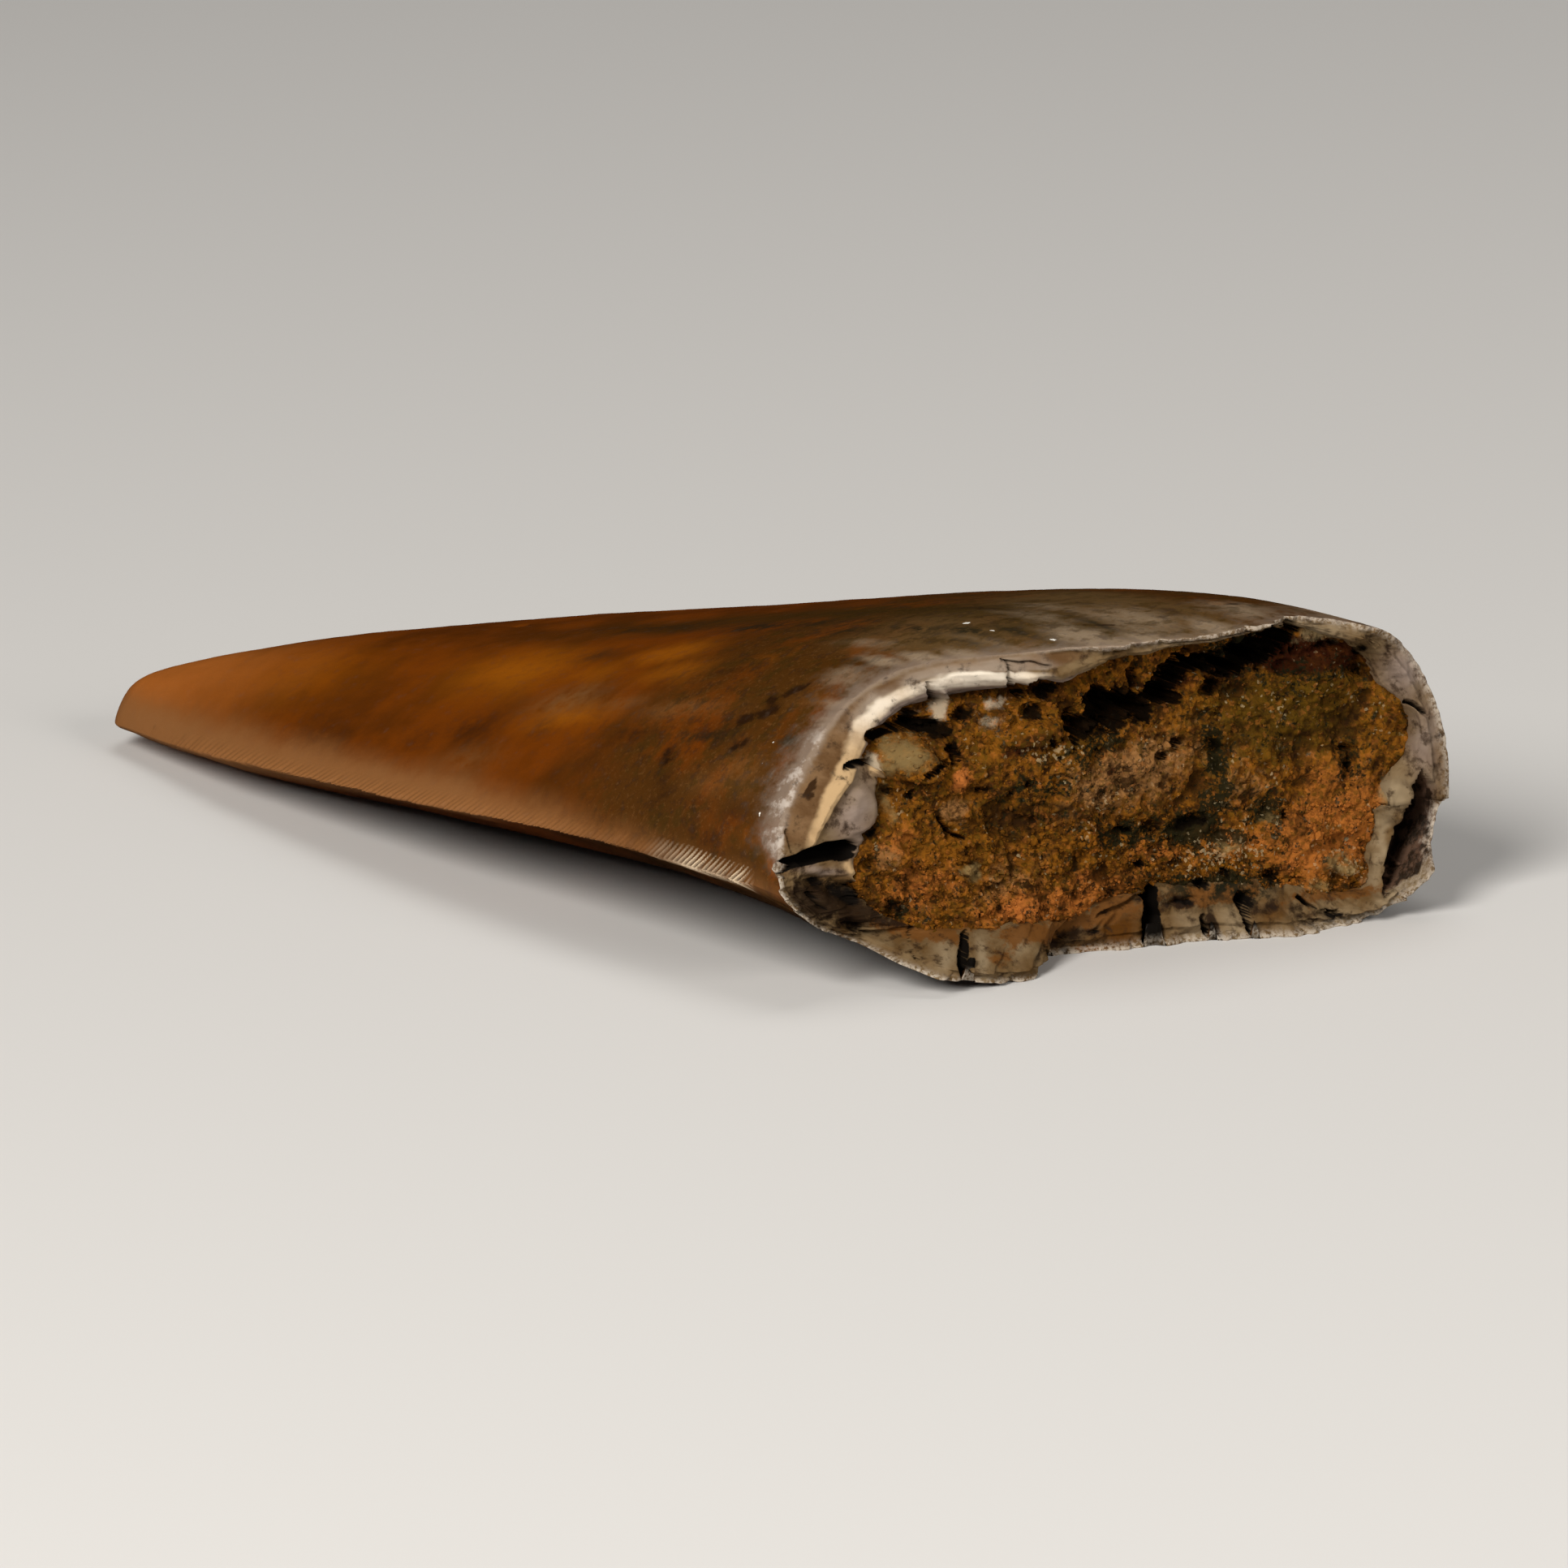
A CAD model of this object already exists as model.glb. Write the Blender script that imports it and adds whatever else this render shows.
import itertools
import math

import bpy
import numpy as np
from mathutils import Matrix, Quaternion, Vector


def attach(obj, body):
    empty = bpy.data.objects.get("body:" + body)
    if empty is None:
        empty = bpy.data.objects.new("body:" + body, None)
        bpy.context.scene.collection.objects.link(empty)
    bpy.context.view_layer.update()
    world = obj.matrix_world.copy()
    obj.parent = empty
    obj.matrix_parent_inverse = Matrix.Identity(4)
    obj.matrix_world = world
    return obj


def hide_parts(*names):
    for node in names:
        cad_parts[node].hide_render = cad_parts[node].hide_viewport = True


# A fossil tooth crown of a small tyrannosaur, lying on its tongue side, with rusty sand in its broken
# root end. Lengths are millimetres until toMetres. Height runs from 0 at the broken end to 1 at the tip.
# Turn is the angle round the section: 0 at the serrated back edge, 180 degrees at the front edge, and
# between them first over the lip side, then under the tongue side.

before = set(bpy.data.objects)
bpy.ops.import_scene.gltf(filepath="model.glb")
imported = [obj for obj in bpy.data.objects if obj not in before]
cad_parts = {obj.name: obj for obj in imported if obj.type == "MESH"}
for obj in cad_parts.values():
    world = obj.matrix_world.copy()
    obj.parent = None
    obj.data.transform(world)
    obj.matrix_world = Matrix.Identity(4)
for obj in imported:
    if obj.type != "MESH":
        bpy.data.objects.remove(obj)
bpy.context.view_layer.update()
print("frame loaded:", sorted(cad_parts))

toMetres = 0.001


# Camera

viewpoint = {
    "eye": (155.12, -142.51, 55.61),
    "aim": (6.90, -3.05, 3.00),
    "roll": -3.076,
    "pixelsPerRadian": 12544.0,
    "photoWidth": 1932.0,
    "sensorWidth": 36.0,
    "clip": (0.01, 10.0),
}


def lookAlong(direction, rollDegrees=0.0):
    # the turn that points an object's -Z along a direction, then rolls it
    aim = Vector(direction).to_track_quat("-Z", "Y")
    return (aim @ Quaternion((0, 0, 1), math.radians(rollDegrees))).to_euler()


def makeCamera():
    # the lens is the sensor's width times the pixels to a radian, over the photo's width
    eye = np.array(viewpoint["eye"]) * toMetres
    aim = np.array(viewpoint["aim"]) * toMetres
    data = bpy.data.cameras.new("photoCamera")
    data.sensor_width = viewpoint["sensorWidth"]
    data.lens = viewpoint["sensorWidth"] * viewpoint["pixelsPerRadian"] / viewpoint["photoWidth"]
    data.clip_start, data.clip_end = viewpoint["clip"]
    camera = bpy.data.objects.new("photoCamera", data)
    camera.location = eye
    camera.rotation_euler = lookAlong(aim - eye, viewpoint["roll"])
    bpy.context.scene.collection.objects.link(camera)
    bpy.context.scene.camera = camera
    print("camera made")


makeCamera()


# Soft random fields

def hashedValue(cell, seed):
    # a repeatable number from -1 to 1 for each whole-numbered cell
    key = cell[..., 0] * 73856093 ^ cell[..., 1] * 19349663 ^ cell[..., 2] * 83492791 ^ (seed * 2654435761)
    key = ((key ^ (key >> 13)) * 1274126177) & 0x7FFFFFFF
    return ((key ^ (key >> 16)) & 0xFFFF) / 32767.5 - 1


def softNoise(points, size, seed):
    # random heights on a cubic lattice, blended between its corners with an ease curve
    place = points / size
    cell = np.floor(place).astype(np.int64)
    part = place - cell
    eased = part * part * (3 - 2 * part)
    total = 0.0
    for step in itertools.product((0, 1), repeat=3):
        weight = np.prod(np.where(np.array(step) == 1, eased, 1 - eased), axis=-1)
        total = total + weight * hashedValue(cell + np.array(step), seed)
    return total


def layeredNoise(points, size, seed, layers=4, falloff=0.5):
    # each layer is half the size and falloff times the height of the one before
    total = 0.0
    for layer in range(layers):
        total = total + softNoise(points, size / 2**layer, seed + 17 * layer) * falloff**layer
    return total


def grainCells(points, size, seed):
    # random centres on a jittered lattice: how far the nearest is, how far the border with the next one is,
    # both as parts of the size, and a number from 0 to 1 that the nearest one carries
    place = points / size
    cell = np.floor(place).astype(np.int64)
    nearest = np.full(points.shape[:-1], 9.0)
    second = nearest.copy()
    tone = np.zeros(points.shape[:-1])
    for step in itertools.product((-1, 0, 1), repeat=3):
        other = cell + np.array(step)
        jitter = np.stack([hashedValue(other, seed + axis) for axis in range(3)], axis=-1) * 0.42 + 0.5
        away = np.linalg.norm(place - other - jitter, axis=-1)
        second = np.minimum(np.maximum(nearest, away), second)
        tone = np.where(away < nearest, hashedValue(other, seed + 7) * 0.5 + 0.5, tone)
        nearest = np.minimum(nearest, away)
    return nearest, second - nearest, tone


def ease(value, low, high):
    # 0 up to low and 1 from high, with 3 s^2 - 2 s^3 between, where s is the share of the way
    step = np.clip((value - low) / (high - low), 0, 1)
    return step * step * (3 - 2 * step)


def onFace(across, level):
    # a place on the broken face, for the noise
    return np.stack([across, level, np.zeros_like(across)], axis=-1)


def lump(across, level, centreAcross, centreLevel, long, wide, slant):
    # a soft oval spot on the broken face, exp(-(along / long)^2 - (aside / wide)^2), its slant in degrees
    cosine, sine = math.cos(math.radians(slant)), math.sin(math.radians(slant))
    right, up = across - centreAcross, level - centreLevel
    along, aside = right * cosine + up * sine, up * cosine - right * sine
    return np.exp(-(along / long)**2 - (aside / wide)**2)


def strongestLump(across, level, spots):
    # the strongest of several spots at each place
    total = np.zeros_like(across)
    for *spot, strength in spots:
        total = np.maximum(total, strength * lump(across, level, *spot))
    return total


# The crown's form, from the same driving values as the solids

crownForm = {
    "crownHeight": 28.0,
    # the two edges in plan are curves from the root end, by a place that pulls them, to the tip
    "tip": (-31.07, -0.19),
    "tipHalfWidth": 0.71,
    "backEdge": ((-2.37, -7.03), (-15.70, -5.73)),
    "frontEdge": ((3.77, 6.22), (-12.99, 11.38)),
    "shift": (13.6325, -0.4268),
    # levels of the edges, and swells of the two sides above and below them, from the root end to the tip
    "backLevel": (2.34, 2.98, 1.45, 1.50, 0.32),
    "frontLevel": (2.42, 1.57, 3.07, 2.55, -0.18),
    "lipRise": (4.30, 5.17, 0.44, 2.49, 1.13),
    "tongueDrop": (2.38, 1.83, 2.91, 1.51, 0.02),
    # the two powers of each quarter's fullness, from the root end to the tip
    "lipBack": ((2.30, 1.86, 2.00), (1.64, 0.78, 1.32)),
    "lipFront": ((5.78, 2.06, 1.40), (2.55, 2.69, 1.69)),
    "tongueBack": ((2.30, 1.86, 2.00), (1.32, 0.19, 1.90)),
    "tongueFront": ((11.49, 0.19, 1.91), (0.62, 1.92, 1.58)),
    "cavityBack": ((2.30, 2.20, 2.20), (1.75, 1.80, 1.80)),
    "walls": (1.60, 0.85, 0.55, 0.55),  # at the back edge, the front edge, the lip side, the tongue side
    "capFrom": 0.955,  # the height where the tip starts to close
    "tipLift": 0.30,
    "tipBack": 0.65,
    "tipUndercut": 0.20,
    "groundCut": 0.07,  # how far the crown is let down, cut flat where it meets the ground
}


def blend(height, values):
    # a Bezier blend of the values, from the root end to the tip
    values = np.asarray(values, float)
    degree = len(values) - 1
    weights = [math.comb(degree, i) * height**i * (1 - height)**(degree - i) for i in range(degree + 1)]
    return np.tensordot(np.stack(weights, axis=-1), values, axes=1)


def fullness(height, across, quarter):
    # how much of the full swell is left at a place across the section: (1 - |across|^a)^(1/b)
    return np.clip(1 - np.abs(across)**blend(height, quarter[0]), 0, 1)**(1 / blend(height, quarter[1]))


def crownPoints(height, turn, walls=None):
    # the chord between the two edges, and above and below it a swell for each side: rise * fullness. With
    # walls, the same section made smaller by a wall on each side, for the cavity
    form = crownForm
    height, turn = np.broadcast_arrays(height, turn)
    backWall, frontWall, lipWall, tongueWall = walls or (0.0, 0.0, 0.0, 0.0)
    tip = np.array(form["tip"])
    halfTip = np.array((0.0, form["tipHalfWidth"]))
    back = blend(height, (*form["backEdge"], tip - halfTip))
    front = blend(height, (*form["frontEdge"], tip + halfTip))
    chord = front - back
    width = np.linalg.norm(chord, axis=-1)
    chord = chord / width[..., None]
    past = np.clip((height - form["capFrom"]) / (1 - form["capFrom"]), 0, 1)
    close = np.sqrt(1 - past**2)
    across = -np.cos(turn)
    along = width / 2 + (backWall - frontWall) / 2 + (width - backWall - frontWall) / 2 * across * close
    plan = back + chord * along[..., None]
    lipBack, lipFront, tongueBack, tongueFront = (fullness(height, across, form[name]) for name in
                                                  ("lipBack", "lipFront", "tongueBack", "tongueFront"))
    if walls:
        lipBack = tongueBack = fullness(height, across, form["cavityBack"])
    lip = np.sin(turn) >= 0
    atBack = across < 0
    full = np.where(lip, np.where(atBack, lipBack, lipFront), np.where(atBack, tongueBack, tongueFront))
    rise = blend(height, form["lipRise"]) - lipWall
    drop = blend(height, form["tongueDrop"]) - tongueWall
    backLevel, frontLevel = blend(height, form["backLevel"]), blend(height, form["frontLevel"])
    slope = (frontLevel - backLevel) * (np.clip(along / width, 0, 1) - 0.5) * close
    up = (backLevel + frontLevel) / 2 + slope + np.where(lip, rise, -drop) * full * close
    # the tip is worn round: it lies a little higher and further back, its underside and edges most of all
    low = 1 - close * np.clip(np.sin(turn), 0, 1)
    up = up + form["tipLift"] * past**2 + form["tipUndercut"] * ease(height, 0.86, 0.97) * low
    worn = form["tipBack"] * past**2 * (0.5 + 0.5 * low)
    flat = plan + np.array(form["shift"]) + np.stack([worn, 0 * worn], axis=-1)
    return np.concatenate([flat, np.maximum(up - form["groundCut"], 0.0)[..., None]], axis=-1)


def skinPlace(height, degrees):
    # one place on the crown's outer surface
    return crownPoints(np.array(height), np.array(math.radians(degrees)))


viewSlant = (-0.333, 0.273)  # how a point a millimetre behind the broken plane looks moved: across, up


def faceMap(points):
    # where a point is seen on the broken end, looking a little from the back edge's side and from above:
    # millimetres across from the back edge, and level above the ground
    start, end = np.array(crownForm["backEdge"][0]), np.array(crownForm["frontEdge"][0])
    chord = (end - start) / np.linalg.norm(end - start)
    plan = points[..., :2] - np.array(crownForm["shift"]) - start
    behind = -(plan @ np.array((chord[1], -chord[0])))
    return plan @ chord + viewSlant[0] * behind, points[..., 2] + viewSlant[1] * behind


def skinNormals(height, turn):
    # outward directions of the smooth crown: the cross product of a small step round and a small step up
    step, swing, top = 0.004, 0.03, 0.999
    high = np.minimum(height + step, top)
    up = crownPoints(high, turn) - crownPoints(high - 2 * step, turn)
    around = crownPoints(height, turn + swing) - crownPoints(height, turn - swing)
    normal = np.cross(around, up)
    return normal / np.maximum(np.linalg.norm(normal, axis=-1, keepdims=True), 1e-9)


skinRelief = {
    "waveHeight": 0.030,
    "waveSize": 2.6,
    "fineHeight": 0.005,
    "fineSize": 0.35,
    "streakHeight": 0.010,
    "streakSize": 0.55,
    "streakStretch": 0.16,
    "scratchHeight": 0.020,
    "scratchSize": 0.22,
    "scratchPatch": 1.6,
    # height, turn, radius, depth
    "nicks": (
        (0.658, 99.0, 0.24, 0.1), (0.06, 118.5, 0.24, 0.09), (0.31, 95.0, 0.12, 0.04),
        (0.152, 49.5, 0.14, 0.04), (0.127, 53.5, 0.14, 0.05), (0.2, 32.5, 0.14, 0.04),
    ),
}


def skinPoints(height, turn, sink=0.0):
    # the smooth crown, moved along its outward direction by waves, fine streaks along the tooth, patches of
    # scratches near the root end, and a few nicks
    form = skinRelief
    points = crownPoints(height, turn)
    relief = form["waveHeight"] * softNoise(points, form["waveSize"], 3)
    stretched = points * np.array((form["streakStretch"], 1.0, 1.0))
    relief = relief + form["streakHeight"] * layeredNoise(stretched, form["streakSize"], 5, 3)
    relief = relief + form["fineHeight"] * layeredNoise(points, form["fineSize"], 9, 3)
    patches = ease(softNoise(points, form["scratchPatch"], 12), 0.1, 0.6) * ease(height, 0.30, 0.05)
    scratches = ease(softNoise(stretched * 1.6, form["scratchSize"], 14), 0.35, 0.7)
    relief = relief - form["scratchHeight"] * patches * scratches
    for nickHeight, nickTurn, size, depth in form["nicks"]:
        away = np.linalg.norm(points - skinPlace(nickHeight, nickTurn), axis=-1)
        relief = relief - depth * (1 - ease(away, 0.3 * size, size))
    moved = points + skinNormals(height, turn) * (relief - sink)[..., None]
    moved[..., 2] = np.maximum(moved[..., 2], 0.0)
    return moved


# Mesh making

def makePiece(name, points, faces, marks, smooth=True):
    # one mesh object at the origin, from points in millimetres, blocks of quads or triangles, and marks,
    # the numbers at each point that steer the colours
    mesh = bpy.data.meshes.new(name)
    points = np.asarray(points, float).reshape(-1, 3) * toMetres
    sizes = np.concatenate([np.full(len(block), block.shape[1]) for block in faces])
    loops = np.concatenate([block.ravel() for block in faces])
    mesh.vertices.add(len(points))
    mesh.vertices.foreach_set("co", points.ravel())
    mesh.loops.add(len(loops))
    mesh.loops.foreach_set("vertex_index", loops)
    mesh.polygons.add(len(sizes))
    mesh.polygons.foreach_set("loop_start", np.cumsum(sizes) - sizes)
    mesh.polygons.foreach_set("use_smooth", np.full(len(sizes), smooth))
    mesh.update(calc_edges=True)
    mesh.validate()
    for mark, values in marks.items():
        attribute = mesh.attributes.new(mark, "FLOAT", "POINT")
        attribute.data.foreach_set("value", np.asarray(values, np.float32).ravel())
    piece = bpy.data.objects.new(name, mesh)
    bpy.context.scene.collection.objects.link(piece)
    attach(piece, "root")
    print("made", name, "with", len(sizes), "faces")
    return piece


def gridFaces(rows, columns, wrapColumns=True, wrapRows=False):
    # quads between neighbouring rows and columns, seen from outside anticlockwise
    row = np.arange(rows if wrapRows else rows - 1)[:, None]
    column = np.arange(columns if wrapColumns else columns - 1)[None, :]
    nextRow, nextColumn = (row + 1) % rows, (column + 1) % columns
    corners = np.broadcast_arrays(row * columns + column, row * columns + nextColumn,
                                  nextRow * columns + nextColumn, nextRow * columns + column)
    return np.stack(corners, axis=-1).reshape(-1, 4)


def fanFaces(ring, hub, outwards=True):
    # triangles from a ring of point numbers to one point
    beside, hubs = np.roll(ring, -1), np.full(len(ring), hub)
    return np.stack((ring, beside, hubs) if outwards else (beside, ring, hubs), axis=-1)


def bandFaces(ring, deeper):
    # quads from a ring of point numbers to the ring behind it
    return np.stack((ring, deeper, np.roll(deeper, -1), np.roll(ring, -1)), axis=-1)


# The broken end. Stations give a value at some turns in degrees, with straight runs between: how far the
# skin's edge, the dentine's crest and the wall's inner border are broken back towards the tip, and how far
# in they lie, in millimetres
rimForm = {
    "columns": 980,
    "skinRows": 46,
    "edge": (
        (0, 0.0), (13, 0.35), (25, 0.8), (33, 1.05), (44, 1.42), (50, 1.65), (56, 1.74), (62, 1.65),
        (67, 1.25), (71, 0.8), (75, 0.45), (81, 0.05), (93, -0.3), (107, -0.35), (118, -0.1),
        (126, 0.3), (132, 0.0), (138, -0.45), (147, -0.1), (156, 0.1), (176, 0.0), (186, 0.12),
        (194, 0.2), (201, 0.0), (206, -0.5), (211, -0.35), (217, 0.05), (240, -0.25), (253, 0.2),
        (268, 0.4), (281, 0.85), (286, 0.6), (289, -0.55), (298, -1.0), (310, -1.0), (315, -0.5),
        (318, 0.6), (324, 0.5), (340, -0.3), (350, -0.15),
    ),
    "crestIn": (
        (0, 0.3), (10, 0.5), (14, 0.55), (19, 0.53), (28, 0.5), (34, 0.52), (38, 0.5), (44, 0.5),
        (50, 0.42), (56, 0.36), (61, 0.32), (66, 0.36), (72, 0.52), (76, 0.62), (80, 0.5), (88, 0.25),
        (100, 0.14), (122, 0.14), (134, 0.25), (180, 0.3), (192, 0.12), (208, 0.12), (220, 0.2),
        (262, 0.3), (300, 0.35), (330, 0.3),
    ),
    "crestWide": (
        (0, 0.1), (14, 0.18), (19, 0.3), (26, 0.38), (34, 0.44), (38, 0.46), (44, 0.54), (50, 0.74),
        (56, 0.88), (61, 1.0), (66, 0.98), (70, 0.88), (74, 0.6), (80, 0.4), (88, 0.25), (100, 0.1),
        (130, 0.1), (150, 0.3), (186, 0.3), (194, 0.1), (240, 0.3), (330, 0.2),
    ),
    "crestBack": (
        (0, 0.05), (10, 0.1), (24, 0.22), (32, 0.34), (36, 0.6), (40, 0.9), (46, 1.25), (52, 1.45),
        (58, 1.28), (64, 0.86), (68, 0.5), (72, 0.2), (78, 0.0), (88, -0.2), (107, -0.25), (118, 0.0),
        (126, 0.35), (138, -0.35), (150, 0.0), (176, 0.0), (194, 0.3), (206, -0.2), (240, -0.2),
        (253, 0.25), (268, 0.45), (281, 0.8), (289, -0.5), (298, -0.95), (310, -0.95), (316, -0.4),
        (320, 0.55), (340, -0.2),
    ),
    "wall": (
        (0, 1.85), (8, 1.75), (16, 2.05), (24, 1.95), (32, 1.6), (38, 1.2), (44, 1.2), (50, 1.32),
        (56, 1.42), (61, 1.52), (66, 1.52), (72, 1.4), (80, 1.1), (88, 0.65), (96, 0.4), (112, 0.25),
        (120, 0.3), (136, 0.45), (150, 0.6), (157, 0.75), (163, 0.6), (168, 0.5), (171, 0.62),
        (175, 0.86), (178, 1.3), (191, 1.32), (201, 1.0), (207, 0.8), (214, 0.58), (220, 0.7),
        (227, 0.95), (232, 1.2), (240, 1.2), (252, 1.1), (262, 1.3), (269, 1.4), (275, 1.35),
        (281, 1.2), (287, 1.2), (292, 1.5), (300, 1.7), (312, 1.65), (319, 1.3), (328, 1.5), (340, 1.7),
    ),
    "wallBack": (
        (0, 0.4), (16, 0.5), (30, 0.7), (40, 1.4), (50, 1.9), (60, 1.6), (70, 0.9), (80, 0.6),
        (100, 0.35), (130, 0.3), (160, 0.25), (200, 0.4), (215, 0.25), (240, 0.1), (262, 0.5),
        (281, 0.8), (292, 0.1), (305, 0.0), (316, 0.2), (330, 0.4),
    ),
    "enamel": 0.13,
    "deepest": 3.9,
    # the seam, where the skins of the rim and of the blade dip under each other: heights, how far both run
    # past them, how deep
    "seamFrom": 0.094,
    "seamTo": 0.128,
    "seamPast": 0.012,
    "seamSink": 0.012,
    # the relief of the broken layers, finest last: how high and how large
    "waveHeight": 0.10,
    "waveSize": 1.7,
    "roughHeight": 0.055,
    "roughSize": 0.7,
    "crumbHeight": 0.035,
    "crumbSize": 0.30,
    "crumbPatch": 1.1,  # how large the patches are where crumbs lie
}

# Forms of the broken end, by where they are seen: millimetres across from the back edge, and level
faceForm = {
    # start, end, half width at each, depth
    "cracks": (
        ((0.07, 2.87), (0.75, 3.0), 0.1, 0.13, 1.8), ((0.75, 3.0), (1.46, 3.06), 0.13, 0.16, 1.8),
        ((7.99, -0.4), (7.99, 1.25), 0.14, 0.12, 2.2), ((3.93, 0.95), (3.86, -0.4), 0.07, 0.11, 0.7),
        ((9.98, 0.88), (10.22, -0.3), 0.08, 0.06, 0.4), ((9.12, 0.62), (9.34, -0.2), 0.05, 0.05, 0.4),
        ((3.4, 6.26), (3.45, 5.9), 0.03, 0.07, 0.25), ((5.14, 6.46), (5.2, 5.9), 0.04, 0.07, 0.25),
        ((1.58, 4.74), (2.1, 4.82), 0.07, 0.04, 0.6), ((4.98, 6.5), (6.05, 6.28), 0.03, 0.025, 0.15),
        ((2.15, 5.36), (2.8, 5.48), 0.09, 0.12, 0.7), ((2.8, 5.48), (3.4, 5.36), 0.12, 0.14, 0.8),
        ((3.3, 4.3), (3.7, 4.52), 0.08, 0.06, 0.5), ((3.51, 3.45), (3.7, 3.0), 0.05, 0.04, 0.4),
        ((3.62, 3.25), (4.02, 2.96), 0.03, 0.05, 0.4), ((13.75, 4.55), (14.15, 4.25), 0.05, 0.04, 0.3),
        ((0.62, 2.25), (0.95, 1.85), 0.05, 0.04, 0.3), ((6.86, 0.89), (7.86, 1.2), 0.04, 0.06, 0.2),
        ((11.17, 0.7), (11.54, 0.42), 0.04, 0.04, 0.3), ((0.27, 3.62), (0.33, 3.16), 0.05, 0.03, 0.15),
        ((2.7, 1.25), (2.85, 0.55), 0.02, 0.02, 0.2), ((5.6, 0.55), (5.75, 0.1), 0.02, 0.02, 0.2),
    ),
    # across, level, half length, half width, slant in degrees, depth, darkness
    "hollows": (
        (7.05, 4.75, 0.2, 0.16, 0, 0.5, 0.8), (9.52, 5.38, 0.26, 0.18, 15, 0.5, 0.8),
        (7.8, 5.8, 0.09, 0.26, 0, 0.7, 0.9), (12.8, 5.75, 0.18, 0.14, 0, 0.4, 0.7),
        (12.68, 5.38, 0.22, 0.26, 0, 0.3, 0.5), (3.04, 5.7, 0.22, 0.11, 10, 0.5, 1.0),
        (4.12, 5.52, 0.26, 0.14, 25, 0.6, 1.0), (3.6, 5.22, 0.34, 0.22, 0, 0.8, 1.0),
        (5.33, 5.8, 0.16, 0.2, 0, 0.5, 0.9), (5.87, 5.78, 0.28, 0.18, 10, 0.6, 1.1),
        (5.62, 5.36, 0.27, 0.18, 0, 0.6, 1.1), (6.47, 5.1, 0.17, 0.19, 0, 0.8, 1.0),
        (3.92, 4.74, 0.11, 0.34, 0, 0.7, 1.0), (2.92, 4.0, 0.12, 0.1, 0, 0.5, 1.0),
        (2.42, 4.1, 0.22, 0.12, 0, 0.4, 0.7), (4.5, 3.86, 0.18, 0.07, -10, 0.4, 1.0),
        (5.0, 3.72, 0.12, 0.06, 0, 0.3, 1.0), (5.5, 3.82, 0.08, 0.07, 0, 0.3, 1.0),
        (8.72, 4.25, 0.15, 0.14, 20, 0.5, 1.0), (8.38, 4.08, 0.15, 0.1, 20, 0.4, 1.0),
        (12.37, 3.71, 0.28, 0.07, 0, 0.3, 0.7), (12.42, 3.32, 0.09, 0.24, 0, 0.3, 0.6),
        (8.87, 2.6, 0.42, 0.16, 4, 0.25, 0.85), (8.07, 2.6, 0.18, 0.14, 0, 0.2, 0.7),
        (7.46, 2.68, 0.2, 0.06, -8, 0.2, 0.7), (9.09, 1.25, 0.19, 0.12, 0, 0.3, 0.9),
        (8.67, 0.96, 0.34, 0.06, 0, 0.2, 0.8), (10.04, 0.8, 0.18, 0.13, 30, 0.3, 0.9),
        (10.62, 1.22, 0.18, 0.16, 0, 0.3, 0.8), (9.55, 1.47, 0.15, 0.08, 0, 0.2, 0.7),
        (7.76, 1.9, 0.14, 0.09, 0, 0.3, 0.9), (11.93, 0.25, 0.24, 0.085, -4, 0.3, 0.9),
        (5.99, 0.6, 0.15, 0.06, 0, 0.2, 0.8), (6.73, 0.62, 0.08, 0.08, 0, 0.3, 0.9),
        (0.8, 2.45, 0.3, 0.16, -25, 0.2, 0.6), (1.4, 2.15, 0.48, 0.24, -38, 0.3, 0.85),
        (2.43, 1.66, 0.24, 0.2, -20, 0.3, 0.7), (1.52, 1.47, 0.3, 0.14, -30, 0.15, 0.6),
        (10.95, 2.5, 0.06, 0.1, 0, 0.2, 0.9), (9.5, 4.12, 0.16, 0.22, 10, 0.2, 0.5),
        (9.58, 3.7, 0.14, 0.16, 0, 0.1, 0.4), (12.05, 5.95, 0.3, 0.12, 0, 0.3, 0.6),
        (2.02, 3.33, 0.16, 0.13, 0, 0.3, 0.9), (1.96, 2.69, 0.1, 0.14, 0, 0.2, 0.6),
    ),
    # the trough that the sand leaves under the lip-side wall: places along it, with its half width at each
    "trough": (
        (6.15, 4.88, 0.22), (7.1, 5.15, 0.34), (8.3, 5.46, 0.28), (8.85, 5.85, 0.32), (9.55, 5.8, 0.18),
        (10.1, 6.05, 0.27), (10.95, 6.24, 0.22), (11.5, 6.34, 0.12),
    ),
    "troughDepth": 1.2,
    # the slot between the inner plate and the thin outer wall: places along it, with its half width at each
    "slot": (
        (14.02, 3.0, 0.06), (14.0, 2.55, 0.29), (13.86, 2.05, 0.41), (13.62, 1.3, 0.41),
        (13.36, 0.8, 0.26), (13.14, 0.58, 0.1),
    ),
    "slotDepth": 1.1,
    # cream patches: across, level, half length, half width, slant, strength
    "creamSpots": ((3.66, 5.7, 0.16, 0.34, -8, 1.0), (2.14, 4.68, 0.1, 0.22, 10, 1.17)),
    # a cream line: start, end, half width
    "creamLine": ((1.48, 2.72), (2.15, 1.87), 0.11),
    # pieces that stand proud: across, level, half length, half width, slant, height
    "proud": (
        (2.87, 4.72, 0.78, 0.42, -22, 0.45), (3.66, 5.72, 0.14, 0.34, -8, 0.22),
        (4.07, 2.3, 0.22, 0.15, 10, 0.2), (2.33, 2.81, 0.24, 0.24, 20, 0.25),
        (3.85, 3.52, 0.24, 0.18, 0, 0.2), (3.94, 4.2, 0.09, 0.19, 0, 0.25),
        (12.27, 1.17, 0.16, 0.14, 0, 0.15), (5.6, 4.95, 0.6, 0.25, 5, 0.25),
        (13.38, 2.5, 0.4, 0.46, -20, 0.22), (2.14, 4.66, 0.06, 0.14, 10, 0.4),
        (4.74, 5.34, 0.3, 0.26, 0, 0.15), (1.8, 3.85, 0.35, 0.5, -10, 0.2),
    ),
}


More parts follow.
